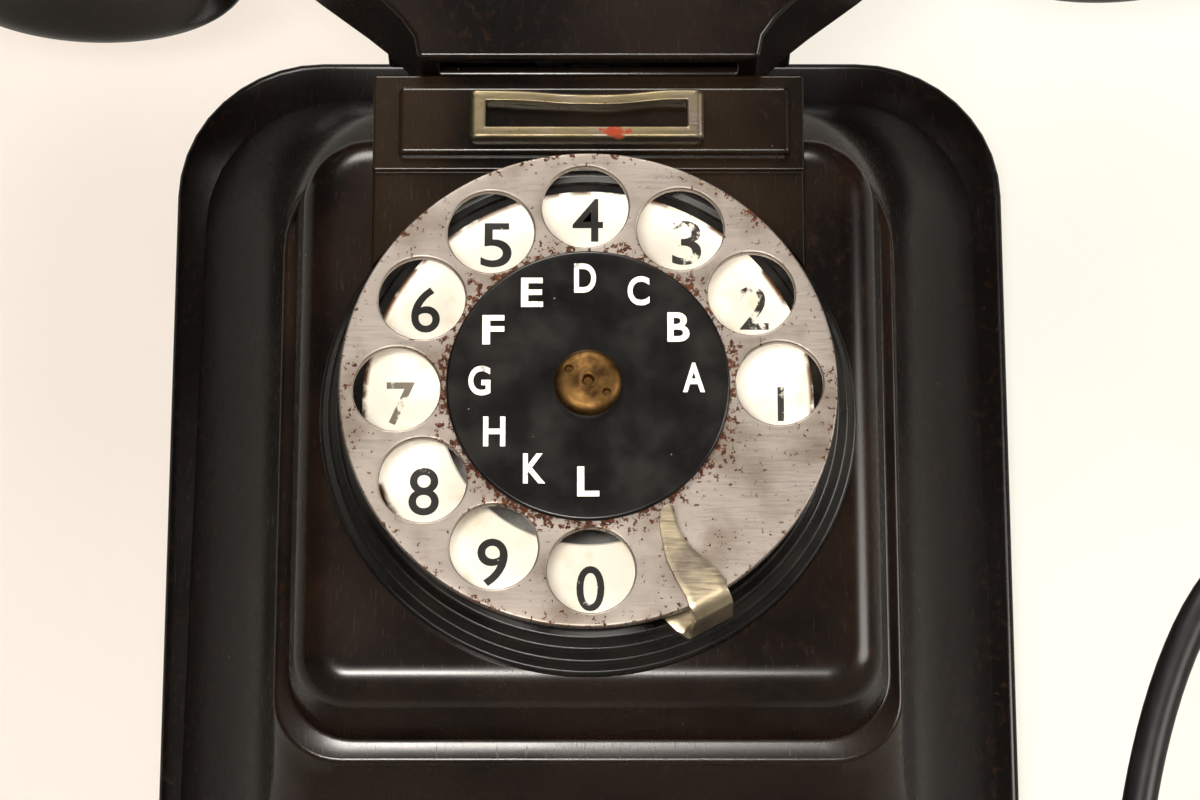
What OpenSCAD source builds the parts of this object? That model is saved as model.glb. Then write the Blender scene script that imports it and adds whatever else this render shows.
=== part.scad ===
/* [Wall plate and housing] */
// Width of the housing's foot on the wall
base_w = 144; // [136:1:152]
// Height of the housing's foot on the wall
base_h = 191; // [184:1:200]
// Radius of the foot's two top corners
foot_top_r = 25; // [18:1:28]
// Radius of the foot's two bottom corners
foot_bottom_r = 23; // [18:1:28]
// Thickness of the flat foot
foot_t = 8; // [7:0.5:9]
// Wall of the moulded housing
shell_t = 3; // [2.4:0.1:3.4]
// Distance of the ledge round the dial block from the wall
ledge_out = 52; // [50:1:54]
// Distance of the dial block's front from the wall
front_out = 70; // [68:1:74]
// Width of the dial block's front
block_w = 92; // [91:1:96]
// Width of the neck above the dial
neck_w = 69; // [64:1:72]
// Thickness of the steel wall plate
plate_t = 2; // [1.5:0.5:2.5]
// Distance between the wall screws, sideways
wall_holes_w = 90; // [84:1:94]
// Distance between the wall screws, upright
wall_holes_h = 140; // [134:1:144]
// Diameter of the wall screw holes
wall_hole_d = 5; // [4:0.5:6]

/* [Dial] */
// Height of the dial's axis above the foot's middle
dial_up = 9; // [8:0.5:10]
// Diameter of the finger wheel
wheel_d = 77; // [76:0.5:77.5]
// Distance of the finger wheel's front from the case's seat
wheel_out = 16; // [15.5:0.5:18]
// Thickness of the finger wheel
wheel_t = 1.5; // [1.2:0.1:1.8]
// Diameter of a finger hole
finger_hole_d = 13.5; // [12.5:0.5:14]
// Radius on which the finger holes lie
finger_pitch_r = 29.5; // [29:0.5:30.5]
// Number of finger holes
finger_holes = 10; // [9:1:10]
// Angle between two finger holes
finger_step = 30; // [28:0.5:30]
// Diameter of the letter disc
disc_d = 43.8; // [40:0.2:44.4]
// Diameter of the brass hub
hub_d = 10.4; // [9:0.2:12]
// Outer diameter of the dial case
case_d = 84.4; // [83.4:0.2:86]
// Diameter of the main shaft
shaft_d = 6; // [5:0.5:7]
// Running clearance round every shaft, on the radius
shaft_gap = 0.05; // [0.03:0.01:0.08]
// Angle of the finger stop, from the right, anticlockwise
stop_angle = -61; // [-64:1:-58]

/* [Gear train] */
// Teeth on the main gear
main_teeth = 60; // [60:1:60]
// Module of the main gear
main_module = 0.5; // [0.48:0.01:0.52]
// Teeth on both pinions
pinion_teeth = 10; // [10:1:10]
// Teeth on the second gear
second_teeth = 50; // [50:1:50]
// Module of the second gear
second_module = 0.4; // [0.38:0.01:0.41]
// Thickness of a gear
gear_t = 2; // [1.6:0.2:2.4]

/* [Cradle and hook switch] */
// Gap between the resting cradle and the neck
cradle_gap = 2.1; // [1.5:0.1:3]
// Distance the cradle rises
cradle_travel = 6; // [5:0.5:7]
// Diameter of the cradle's stem
stem_d = 8; // [7:0.5:9]
// Distance of the stem's axis from the wall
stem_out = 56; // [55:0.5:57]
// Middle of each fork from the cradle's middle
fork_mid = 49.5; // [48:0.5:50]
// Thickness of each fork
fork_t = 9; // [7:0.5:9]
// Arm of the switch lever
lever_arm = 14; // [13:0.5:15]

/* [Ringer] */
// Diameter of a gong
gong_d = 36; // [34:0.5:37]
// Distance between the gongs' axes
gong_pitch = 48; // [47:0.5:50]
// Height of the gongs' axes below the foot's middle
gong_down = 52; // [50:0.5:54]
// Diameter of the clapper's ball
ball_d = 8; // [7:0.5:8.5]

/* [Handset] */
// Height of the handset's grip above the foot's middle
grip_up = 124; // [123:0.5:127]
// Middle of the ear end, to the left
ear_left = 83; // [82:0.5:88]
// Middle of the mouth end, to the right
mouth_right = 87; // [84:0.5:92]
// Diameter of the ear cap
ear_d = 54; // [50:0.5:55]
// Diameter of the mouthpiece cap
mouth_d = 52; // [50:0.5:54]
// Height of the grip's section
grip_h = 20; // [18:0.5:21]
// Depth of the grip's section
grip_w = 23; // [21:0.5:24]

/* [Cord] */
// Diameter of the handset's cord
cord_d = 5.5; // [5:0.1:6]
// Distance of the cord's outlet to the right of the middle
outlet_right = 25; // [25:1:25]

/* [Hidden] */
$fn = 64;

// Colours of the real materials
carbolite = [0.13, 0.09, 0.08];
nickel = [0.62, 0.62, 0.6];
lacquer = [0.05, 0.05, 0.055];
steel = [0.5, 0.5, 0.52];
brass = [0.75, 0.6, 0.3];
enamel = [0.92, 0.9, 0.82];
copper = [0.6, 0.32, 0.2];
rubber = [0.08, 0.08, 0.08];

// Fits
seat_gap = 0.3;      // between a piece and the wall round it
blunt = 1.5;         // rounding of the foot's front edge

// Housing, heights along the wall and distances out from it
foot_x = base_w / 2;
foot_y = base_h / 2;
lip = 5.5;           // flat of the foot outside the skirt, at the sides
ledge_w = block_w + 8;
ledge_bottom = -42.5;
block_top = dial_up + 49;
block_bottom = dial_up - 46;
block_round = 6;
neck_top = dial_up + 57.5;
neck_out = front_out + 2;
pad_out = neck_out + 1.5;
back_top = dial_up + 71;
neck_back = 38;      // where the neck starts behind the dial block
neck_low = dial_up + 20;         // hidden by the dial's case
neck_fold = dial_up + 41;        // the neck stands out further above this line
neck_step = 0.8;
rim_t = 4;           // wall of the foot
skirt_steps = 8;

// Dial, distances out from the wall
seat_out = front_out;
wheel_front = seat_out + wheel_out;
wheel_back = wheel_front - wheel_t;
plate_front = wheel_front - 8;
enamel_t = 1;
case_face = plate_front - enamel_t;
case_face_t = 1;
case_r = case_d / 2;
tube_r = case_r - 5.7;
tube_t = 1;
frame_r = tube_r - tube_t - 0.1;
frame_front = seat_out - 5.5;
frame_t = 2.5;
frame_back = frame_front - frame_t;
bridge_front = frame_back - 23;
bridge_t = 1.5;
wheel_r = wheel_d / 2;
disc_t = 1;
hub_t = 2.5;
rim_lip = 0.5;       // rolled lip round the wheel and its holes
first_hole = 0.9;    // angle of the hole over the 1
pillar_r = 2.5;
frame_pillars = [25, 145, 265];
pillar_pitch = frame_r - 4.4;

// Gear train, measured from the main shaft
main_out = frame_back - 6;
second_out = main_out - 6;
main_to_idler = main_module * (main_teeth + pinion_teeth) / 2;
idler_to_governor = second_module * (second_teeth + pinion_teeth) / 2;
idler_x = -main_to_idler;
governor_y = -idler_to_governor;
arbor_r = 1;
weights_r = 7;
cup_r = weights_r + 0.8;
cup_t = 0.8;
weights_out = bridge_front + 3.6;
spring_out = bridge_front + 2.5;
spring_w = 6;

// Ringer
ringer_top = -3;
ringer_bottom = -31;
coil_x = 9;
coil_r = 7;
ringer_out = 12;
pivot_y = ringer_bottom + 1.2;
pivot_r = 1;
gong_x = gong_pitch / 2;
gong_y = -gong_down;
gong_r = gong_d / 2;
gong_back = 8;
gong_deep = 10;
gong_t = 1.2;

// Cradle, and the grip's half length that it holds
grip_reach = 70;
cradle_bottom = neck_top + cradle_gap;
cradle_front = neck_out + 4;
step_out = ledge_out;            // the front part of the cradle starts here
step_bottom = back_top + 3;
bridge_up = 83;                  // top of the bridge above the dial's axis
bridge_top = dial_up + bridge_up;
fork_out = stem_out - 2;
fork_edge = (fork_mid + fork_t / 2) / grip_reach;
fork_play = 0.7;                 // room for the grip between the horns
fork_rest = 0.4;                 // room under the grip
fork_in_w = grip_half_w(fork_edge) + fork_play;
fork_in_h = grip_half_h(fork_edge) + fork_rest;
fork_y = grip_up - grip_dip(fork_edge);
fork_wall = 6.5;
horn_top = grip_up + 6;
horn_r = 2.6;                    // rounding of a horn's tip
cradle_t = 3;
stem_r = stem_d / 2;
stem_bottom = neck_top - 13;
stem_plate_t = 2;
roof = bridge_top - cradle_t;

// Hook switch
switch_y = stem_bottom - 2.2;
switch_out = 47;
switch_t = 2;
pin_r = 1.2;

// Handset
ear_x = -ear_left;
mouth_x = mouth_right;
head_r = 25;
ear_face = grip_up - 35;
mouth_face = grip_up - 28;
head_base = grip_up - 18;        // where the caps screw on
head_top = grip_up + 8;
nose_r = 6.4;
nose_l = 6;
nose_in = 3;                     // overlap of the nose with the head
nose_z = grip_up - 11.5;
relief_start = mouth_x + head_r - 4.5;
relief_nose = mouth_x + head_r - nose_in + nose_l;
relief_end = relief_nose + 6;

// Cord, in millimetres from the foot's middle: right, out from the wall (negative), up
outlet_out = 26;
cord_r = cord_d / 2;
bushing_r = 4.5;
outlet_top = -56;
outlet_end = -88;
cord_gap = 0.1;
cord_route = [
    [25, -26, -58], [25, -26, -88], [25, -26, -130], [28, -29, -180], [38, -35, -222],
    [56, -40, -238], [76, -44, -222], [87, -47, -180], [88, -50, -130], [85, -52, -82],
    [86, -54, -51], [96.5, -56, -19], [118, -56, 6], [138, -55, 34], [144, -54, 68],
    [relief_end + 17, -fork_out, 96], [relief_end + 11, -fork_out, nose_z - 4.5],
    [relief_end + 5.5, -fork_out, nose_z - 0.5], [relief_end + 0.5, -fork_out, nose_z]
];
cord_sides = 8;
cord_steps = 4;      // rings from one route point to the next

// ---------------------------------------------------------------- helpers

// Turns a shape drawn on the wall (x right, y up) so that its height stands out from the wall.
module from_wall() rotate([90, 0, 0]) children();

// The same, from the dial's axis.
module at_dial() from_wall() translate([0, dial_up, 0]) children();

// A disc or tube round the local z axis, between two distances.
module disc(r, low, high) translate([0, 0, low]) cylinder(r = r, h = high - low);

module tube(r, hole, low, high) difference() {
    disc(r, low, high);
    disc(hole, low - 1, high + 1);
}

// A box from one corner to the opposite one.
module block(a, b) translate(a) cube(b - a);

// An upright plate outline with two radii, as corner points.
function arc(x, y, r, from, steps) =
    [for (i = [0 : steps]) [x + r * cos(from + 90 * i / steps), y + r * sin(from + 90 * i / steps)]];

function outline(top_w, bottom_w, top, bottom, top_r, bottom_r, steps = 6) = concat(
    arc(top_w - top_r, top - top_r, top_r, 0, steps),
    arc(top_r - top_w, top - top_r, top_r, 90, steps),
    arc(bottom_r - bottom_w, bottom + bottom_r, bottom_r, 180, steps),
    arc(bottom_w - bottom_r, bottom + bottom_r, bottom_r, 270, steps));

// A closed solid through rings of equally many points.
module loft(rings) {
    n = len(rings[0]);
    last = len(rings) - 1;
    polyhedron(
        points = [for (ring = rings) each ring],
        faces = concat(
            [[for (i = [0 : n - 1]) i]],
            [for (k = [0 : last - 1], i = [0 : n - 1]) let (a = k * n + i, b = k * n + (i + 1) % n)
                each [[a, a + n, b + n], [a, b + n, b]]],
            [[for (i = [n - 1 : -1 : 0]) last * n + i]]));
}

// A gear outline: straight-sided teeth, first tooth at angle zero plus start.
function gear_points(teeth, module_mm, start = 0) =
    let (pitch_r = module_mm * teeth / 2, tip = pitch_r + 0.75 * module_mm,
         root = pitch_r - 1.1 * module_mm, step = 360 / teeth)
    [for (i = [0 : teeth - 1]) each [
        for (corner = [[root, -0.34], [tip, -0.13], [tip, 0.13], [root, 0.34]])
            let (a = start + (i + corner[1]) * step) [corner[0] * cos(a), corner[0] * sin(a)]]];

// A slotted cheese-head screw along the local z axis, head underneath at height zero.
module screw(shank_r, shank, head_r, head) difference() {
    union() {
        disc(shank_r, -shank, 0);
        disc(head_r, 0, head);
    }
    block([-head_r - 1, -0.4, head * 0.55], [head_r + 1, 0.4, head + 1]);
}

// ---------------------------------------------------------------- wall plate

plate_x = foot_x - rim_t - seat_gap;
plate_y = foot_y - rim_t - seat_gap;
lug_x = 40;
lug_out = 3.4;
lug_top = foot_t - shell_t - 0.1;
lug_t = 2;
cover_screw_r = 1.25;
wire_hole = [12, 50];            // the wall wires come in here
wire_hole_r = 5;

module back_plate() color(steel) from_wall() difference() {
    union() {
        linear_extrude(plate_t) polygon(outline(plate_x, plate_x, plate_y, -plate_y,
            foot_top_r - rim_t - seat_gap, foot_bottom_r - rim_t - seat_gap, 12));
        // Lugs for the housing's two screws, and plain lugs at the top
        for (side = [-1, 1]) {
            block([side * lug_x - 5, -plate_y, plate_t - 0.1],
                [side * lug_x + 5, -plate_y + lug_t, lug_top]);
            block([side * lug_x - 5, plate_y - lug_t, plate_t - 0.1], [side * lug_x + 5, plate_y, lug_top]);
        }
        // Posts of the gongs
        for (side = [-1, 1]) translate([side * gong_x, gong_y, 0]) disc(3, plate_t - 0.1, gong_post);
    }
    for (x = [-1, 1], y = [-1, 1])
        translate([x * wall_holes_w / 2, y * wall_holes_h / 2, 0]) disc(wall_hole_d / 2, -1, plate_t + 1);
    for (side = [-1, 1]) {
        translate([side * lug_x, 0, lug_out]) rotate([90, 0, 0])
            disc(cover_screw_r, plate_y - lug_t - 1, plate_y + 1);
        translate([side * gong_x, gong_y, 0]) disc(gong_screw_r, plate_t + 2, gong_post + 1);
    }
    translate(wire_hole) disc(wire_hole_r, -1, plate_t + 1);
}

// ---------------------------------------------------------------- housing

// Half-width of the skirt, its top and its bottom, from the foot (0) to the ledge (1).
foot_side = foot_x - lip;
foot_top = foot_y - 7.5;
foot_low = -foot_y + 4.5;
function skirt_x(s) = ledge_w / 2 + (foot_side - ledge_w / 2) * pow(1 - s, 3);
function skirt_top(s) =
    block_top + 4 + (back_top - block_top - 4) * (1 - pow(s, 3)) + (foot_top - back_top) * pow(1 - s, 6);
function skirt_low(s) = ledge_bottom + (foot_low - ledge_bottom) * (0.8 * (1 - s) + 0.2 * pow(1 - s, 6));

function at_height(points, out) = [for (p = points) [p[0], p[1], out]];

// One ring of the outer skirt, drawn inside by a margin and placed at its distance from the wall.
function skirt_ring(s, margin) = at_height(
    outline(skirt_x(s) - margin, skirt_x(s) - margin + 2.5 * (1 - s), skirt_top(s) - margin,
        skirt_low(s) + margin * (1 + 0.35 * sin(90 * s)), 23 - 5 * s - margin, 20 - 9 * s - margin * 0.8),
    foot_t + (ledge_out - 1 - foot_t) * s);

function foot_ring(margin, out) = at_height(
    outline(foot_x - margin, foot_x - margin, foot_y - margin, -foot_y + margin,
        foot_top_r - margin, foot_bottom_r - margin), out);

function block_ring(margin, out) = at_height(
    outline(block_w / 2 - margin, block_w / 2 - margin, block_top - margin, block_bottom + margin,
        15 - margin, 9 - margin), out);

module housing_outside() loft(concat(
    [foot_ring(0, 0), foot_ring(0, foot_t - blunt)],
    [for (a = [30, 60, 90]) foot_ring(blunt * (1 - cos(a)), foot_t - blunt + blunt * sin(a))],
    [for (i = [0 : skirt_steps]) skirt_ring(pow(i / skirt_steps, 1.4), 0)],
    [at_height(outline(ledge_w / 2 - 1, ledge_w / 2 - 1, block_top + 3, ledge_bottom + 1, 17, 10),
        ledge_out)],
    [block_ring(-1.5, ledge_out), block_ring(-1, front_out - block_round - 4)],
    [for (a = [0 : 22.5 : 90]) block_ring(block_round * (1 - cos(a)),
        front_out - block_round * (1 - sin(a)))]));

module housing_inside() loft(concat(
    [foot_ring(rim_t, -1), foot_ring(rim_t, foot_t - shell_t)],
    [for (i = [0 : 2 : skirt_steps])
        let (ring = skirt_ring(pow(i / skirt_steps, 1.4), shell_t + 0.6 * (1 - i / skirt_steps)))
        [for (p = ring) p - [0, 0, shell_t * 0.9]]],
    [block_ring(shell_t, ledge_out - shell_t * 0.8), block_ring(shell_t + 0.5, front_out - block_round),
     block_ring(shell_t + 2.5, front_out - shell_t)]));

// The neck's outline, drawn smaller by a margin, from a height along the wall up to its top.
module neck(margin, low, high, bottom = neck_low) translate([0, 0, low]) linear_extrude(high - low)
    polygon(outline(neck_w / 2 - margin, neck_w / 2 - margin, neck_top - margin, bottom,
        4 - margin / 2, 0.5, 4));

pad_w = 62.6;
pad_h = 11.7;
pad_x = 0.9;
pad_y = dial_up + 49.2;

module housing() color(carbolite) from_wall() difference() {
    union() {
        difference() {
            union() {
                housing_outside();
                neck(0, neck_back, neck_out - 1.2);
                neck(0.4, neck_back, neck_out - neck_step);
                neck(0, neck_back, neck_out - 1, neck_fold);
                neck(1, neck_back, neck_out, neck_fold);
            }
            housing_inside();
            neck(shell_t, neck_back - 6, neck_out - shell_t, neck_top - 23);
        }
        // Raised pad under the label frame
        translate([pad_x, pad_y, 0]) block([-pad_w / 2, -pad_h / 2, neck_out - 2],
            [pad_w / 2, pad_h / 2, pad_out]);
    }
    // Seat of the dial case, and the opening for its mechanism
    translate([0, dial_up, 0]) disc(case_r + seat_gap, front_out, neck_out + 1);
    translate([0, dial_up, 0]) disc(tube_r + seat_gap, front_out - 20, front_out + 1);
    // Screw holes of the dial case, the housing's own screws and the cord's outlet
    for (a = case_screw_angles) translate([0, dial_up, 0]) rotate([0, 0, a])
        translate([case_screw_pitch, 0, 0]) disc(case_screw_r, front_out - 6, front_out + 1);
    for (side = [-1, 1]) translate([side * lug_x, 0, lug_out])
        rotate([90, 0, 0]) disc(cover_screw_r, foot_y - rim_t - 1, foot_y + 1);
    translate([outlet_right, 0, outlet_out]) rotate([90, 0, 0])
        disc(bushing_r + shaft_gap, -outlet_top - 2, foot_y);
    // Hole of the cradle's guide
    translate([0, 0, stem_out]) rotate([-90, 0, 0]) disc(guide_r, neck_top - 8, neck_top + 1);
}

guide_r = stem_r + 2.5;
guide_lip = 1;

module cradle_guide() color(brass) translate([0, -stem_out, 0]) difference() {
    union() {
        disc(guide_r, neck_top - 8, neck_top + 0.1);
        disc(guide_r + 1.5, neck_top, neck_top + guide_lip);
    }
    disc(stem_r + shaft_gap, neck_top - 9, neck_top + guide_lip + 1);
}

label_w = 37.6;
label_h = 8.8;
label_x = -0.3;
label_y = dial_up + 49.6;
label_t = 1.7;

module label_frame() color(nickel) from_wall() translate([label_x, label_y, pad_out]) difference() {
    linear_extrude(label_t) polygon(outline(label_w / 2, label_w / 2, label_h / 2, -label_h / 2, 1.2, 1.2));
    block([-16.1, -2.3, 0.5], [16.1, 2.3, label_t + 1]);
    // Slot for the name card
    block([-17.5, -3.2, 0.3], [label_w, 3.2, 0.9]);
}

module cover_screws() color(steel) from_wall() for (side = [-1, 1])
    translate([side * lug_x, -foot_y, lug_out]) rotate([90, 0, 0])
        screw(cover_screw_r, rim_t + seat_gap + lug_t + 1, 2.4, 1.4);

module cord_bushing() color(rubber) translate([outlet_right, -outlet_out, 0]) difference() {
    union() {
        disc(bushing_r, outlet_end + 2, outlet_top);
        translate([0, 0, outlet_end]) cylinder(r1 = bushing_r - 0.8, r2 = bushing_r, h = 2.001);
    }
    disc(cord_r + cord_gap, outlet_end - 1, outlet_top + 1);
}

// ---------------------------------------------------------------- dial, fixed pieces

case_screw_r = 1.1;
case_screw_pitch = case_r - 2.2;
case_screw_angles = [50, 130, 230, 310];

module dial_case() color(lacquer) at_dial() difference() {
    rotate_extrude() polygon(concat(
        [[tube_r - tube_t, frame_front - 6], [tube_r, frame_front - 6], [tube_r, seat_out],
            [case_r - 0.4, seat_out]],
        arc(case_r - 0.6, seat_out + 0.6, 0.6, 0, 3),
        [[case_r - 1, seat_out + 1.6]],
        arc(case_r - 1.4, seat_out + 1.6, 0.5, 0, 3),
        [[case_r - 2.2, seat_out + 3]],
        arc(case_r - 2.9, seat_out + 3.6, 0.7, 0, 3),
        [[case_r - 3.6, seat_out + 5.5]],
        arc(case_r - 4.1, case_face + 0.2, 0.7, 0, 4),
        [[case_r - 5.6, case_face], [disc_d / 2 + 1, case_face], [disc_d / 2 + 1, case_face - case_face_t],
         [tube_r - tube_t, case_face - case_face_t]]));
    for (a = case_screw_angles) rotate([0, 0, a]) translate([case_screw_pitch, 0, 0])
        disc(case_screw_r, seat_out - 1, seat_out + 1);
    for (a = frame_pillars) rotate([0, 0, a]) translate([pillar_pitch, 0, 0]) {
        disc(dial_screw_r, case_face - 3, case_face + 1);
        translate([0, 0, case_face - case_face_t])
            cylinder(r1 = dial_screw_r, r2 = 2 * dial_screw_r, h = case_face_t + 0.001);
    }
}

module case_screws() color(steel) at_dial() for (a = case_screw_angles) rotate([0, 0, a])
    translate([case_screw_pitch, 0, front_out - shell_t]) rotate([180, 0, 0])
        screw(case_screw_r, shell_t + 0.9, 2.1, 1.4);

module number_plate() color(enamel) at_dial() tube(case_r - 7, disc_d / 2 + 2.1, case_face, plate_front);

dial_screw_r = 1;

module dial_frame() color(steel) at_dial() difference() {
    union() {
        disc(frame_r, frame_back, frame_front);
        // Boss of the main bearing
        disc(shaft_d / 2 + 2.5, frame_back - 2, frame_front + 3);
        for (a = frame_pillars) rotate([0, 0, a]) translate([pillar_pitch, 0, 0])
            disc(pillar_r, frame_front - 0.1, case_face - case_face_t);
        // Rear bridge and its three pillars
        translate([0, 0, bridge_front - bridge_t]) linear_extrude(bridge_t) polygon(bridge_points);
        for (p = bridge_pillars) translate(p) disc(2, bridge_front - 0.1, frame_back + 0.1);
    }
    disc(shaft_d / 2 + shaft_gap, bridge_front - 3, frame_front + 4);
    for (p = [[idler_x, 0], [idler_x, governor_y]]) translate(p)
        disc(arbor_r + shaft_gap, bridge_front - 3, frame_front + 1);
    for (a = frame_pillars) rotate([0, 0, a]) translate([pillar_pitch, 0, 0])
        disc(dial_screw_r, case_face - 7, case_face);
}

bridge_pillars = [[-2, -27], [-25, 15], [19, 12]];
bridge_points = [[-5, -30], [1, -30], [9, -8], [22, 9], [22, 15], [16, 15], [4, 8],
    [-12, 9], [-24, 18], [-28, 16], [-28, 12], [-22, 4], [-24, -17], [-17, -19]];

module dial_screws() color(steel) at_dial() for (a = frame_pillars) rotate([0, 0, a])
    translate([pillar_pitch, 0, 0]) difference() {
        union() {
            disc(dial_screw_r, case_face - 6, case_face - case_face_t + 0.001);
            translate([0, 0, case_face - case_face_t])
                cylinder(r1 = dial_screw_r, r2 = 2 * dial_screw_r, h = case_face_t);
        }
        block([-3, -0.3, case_face - 0.4], [3, 0.3, case_face + 1]);
    }

// The stop: a horn-shaped blade over the wheel, folded down to a flange on the case's inner bead.
stop_t = 1.3;
stop_foot = case_r - 2.2;        // inner face of the upright leg
stop_low = case_face + 0.92;     // the flange lies on the bead here
stop_top = wheel_front + 3.6;
stop_in = 23.5;                  // the blade's tip
flange_in = case_r - 6.6;        // clear of the number plate
stop_left = -4.1;                // sides of the leg
stop_right = 2.5;
// The blade's edges, as distances in from the leg's outer face and sideways
blade_left = [[0, 0], [4, 0.2], [6.9, 0.25], [10.1, 0.6], [12.8, 1.3], [15.1, 2.1], [17, 3.15]];
blade_right = [[0, 0], [3.9, 0], [5.5, -0.2], [7.8, -1.2], [11, -2], [13.7, -2], [15.6, -1.7],
    [17.2, -1.25]];

module finger_stop() color(nickel) at_dial() rotate([0, 0, stop_angle]) {
    outer = stop_foot + stop_t;
    translate([0, 0, stop_top - stop_t]) linear_extrude(stop_t) polygon(concat(
        [for (p = blade_right) [outer - p[0], stop_right + p[1]]],
        [[stop_in, stop_left + 4.6]],
        [for (i = [len(blade_left) - 1 : -1 : 0])
            [outer - blade_left[i][0], stop_left + blade_left[i][1]]]));
    block([stop_foot, stop_left, stop_low], [outer, stop_right, stop_top - stop_t + 0.001]);
    // Flange under the wheel's rim
    translate([0, 0, stop_low]) linear_extrude(stop_t) polygon([
        [outer, stop_right], [flange_in, stop_right], [flange_in, stop_left - 2.9],
        [outer - 0.7, stop_left - 1.7], [outer, stop_left]]);
}

module pulse_contacts() color(brass) at_dial() {
    block([idler_x - 13, 6.2, frame_back - 7], [idler_x - 6, 12.2, frame_back]);
    for (y = [5, 6.9]) block([idler_x - 12, y, frame_back - 3.2], [idler_x + 3, y + 0.4, frame_back - 1]);
    block([idler_x - 13, 4.9, frame_back - 5], [idler_x - 9, 6.6, frame_back]);
}

module governor_cup() color(brass) at_dial() translate([idler_x, governor_y, 0]) difference() {
    disc(cup_r + cup_t, bridge_front, weights_out + 5);
    disc(cup_r, bridge_front + 1, weights_out + 6);
    disc(arbor_r + 0.5, bridge_front - 1, bridge_front + 2);
}

// A flat coil spring, from the shaft out to its pillar.
spring_turns = 3.5;
function spiral(offset, steps) = [for (i = [0 : steps])
    let (t = i / steps, a = 180 + 360 * spring_turns * t,
    r = shaft_d / 2 + 0.4 + 7 * t + offset) [r * cos(a), r * sin(a)]];

module mainspring() color(steel) at_dial() translate([0, 0, spring_out]) linear_extrude(spring_w)
    let (steps = 60, inner = spiral(0, steps), outer = spiral(0.5, steps))
    polygon(concat(inner, [for (i = [steps : -1 : 0]) outer[i]]));

// ---------------------------------------------------------------- dial, turning pieces

module hole_rim(r) rotate_extrude() translate([r, 0])
    polygon([[-0.05, -0.1], [0.9, -0.1], [0.8, rim_lip * 0.7], [0.4, rim_lip], [0, rim_lip * 0.7]]);

module finger_wheel() color(nickel) at_dial() difference() {
    union() {
        disc(wheel_r, wheel_back, wheel_front);
        translate([0, 0, wheel_front]) hole_rim(wheel_r - 0.9);
        for (i = [0 : finger_holes - 1]) rotate([0, 0, first_hole + finger_step * i])
            translate([finger_pitch_r, 0, wheel_front]) hole_rim(finger_hole_d / 2);
    }
    for (i = [0 : finger_holes - 1]) rotate([0, 0, first_hole + finger_step * i])
        translate([finger_pitch_r, 0, 0]) disc(finger_hole_d / 2, wheel_back - 1, wheel_front + 2);
    disc(shaft_d / 2, wheel_back - 1, wheel_front + 1);
}

module letter_disc() color(lacquer) at_dial() disc(disc_d / 2, wheel_front, wheel_front + disc_t);

module dial_hub() color(brass) at_dial() difference() {
    union() {
        disc(hub_d / 2, wheel_front + disc_t, wheel_front + disc_t + hub_t - 0.5);
        translate([0, 0, wheel_front + disc_t + hub_t - 0.5])
            cylinder(r1 = hub_d / 2, r2 = hub_d / 2 - 0.5, h = 0.5);
    }
    disc(1.4, wheel_front + disc_t + 0.5, wheel_front + 6);
    for (side = [-1, 1]) translate([side * 2.9, -side * 1.9, 0])
        disc(0.6, wheel_front + disc_t + 1, wheel_front + 6);
}

module main_shaft() color(steel) at_dial() {
    disc(shaft_d / 2, bridge_front - bridge_t - 1, wheel_front);
    // Collar that carries the finger wheel
    disc(shaft_d / 2 + 2, wheel_back - 3, wheel_back);
}

module main_gear() color(brass) at_dial() translate([0, 0, main_out - gear_t]) difference() {
    union() {
        // A space between two teeth points at the idler
        linear_extrude(gear_t) polygon(gear_points(main_teeth, main_module, 180 + 180 / main_teeth));
        disc(shaft_d / 2 + 2, -2, gear_t + 1);
    }
    disc(shaft_d / 2, -3, gear_t + 2);
}

module idler_shaft() color(steel) at_dial() translate([idler_x, 0, 0]) {
    disc(arbor_r, bridge_front - bridge_t, frame_front);
    // Pinion driven by the main gear: a tooth points at it
    translate([0, 0, main_out - gear_t - 0.5]) linear_extrude(gear_t + 1)
        polygon(gear_points(pinion_teeth, main_module, 0));
}

module second_gear() color(brass) at_dial() translate([idler_x, 0, second_out - gear_t]) difference() {
    union() {
        // A space between two teeth points down at the governor
        linear_extrude(gear_t) polygon(gear_points(second_teeth, second_module, -90 + 180 / second_teeth));
        disc(arbor_r + 1.5, 0, gear_t + 1);
    }
    disc(arbor_r, -1, gear_t + 2);
}

module pulse_cam() color(copper) at_dial() translate([idler_x, 0, frame_back - 3.4]) difference() {
    linear_extrude(2.4) intersection() {
        circle(r = 4.6);
        square([12, 6.4], center = true);
    }
    disc(arbor_r, -1, 4);
}

module governor_shaft() color(steel) at_dial() translate([idler_x, governor_y, 0]) {
    disc(arbor_r, bridge_front - bridge_t, frame_front);
    translate([0, 0, second_out - gear_t - 0.5]) linear_extrude(gear_t + 1)
        polygon(gear_points(pinion_teeth, second_module, 90));
}

module governor_weights() color(brass) at_dial() translate([idler_x, governor_y, weights_out])
    difference() {
        intersection() {
            disc(weights_r, 0, 4);
            union() {
                block([-8, -1, 0], [8, 1, 1]);
                for (side = [-1, 1]) translate([side * 5.5, 0, 2]) cube([5, 8, 4], center = true);
                disc(2.2, 0, 4);
            }
        }
        disc(arbor_r, -1, 5);
    }

// ---------------------------------------------------------------- ringer

gong_screw_r = 1.2;
gong_post = gong_back + gong_deep - gong_t;

module ringer_frame() color(steel) from_wall() {
    block([-17, ringer_bottom, plate_t], [17, ringer_top, plate_t + 2]);
    block([-17, ringer_top - 2, plate_t], [17, ringer_top, ringer_out + 8]);
    for (side = [-1, 1]) translate([side * coil_x, 0, ringer_out]) rotate([90, 0, 0])
        disc(2.5, -ringer_top + 1, -ringer_bottom - 4.5);
    translate([0, pivot_y, 0]) disc(pivot_r, plate_t + 1, ringer_out + 6);
}

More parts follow.
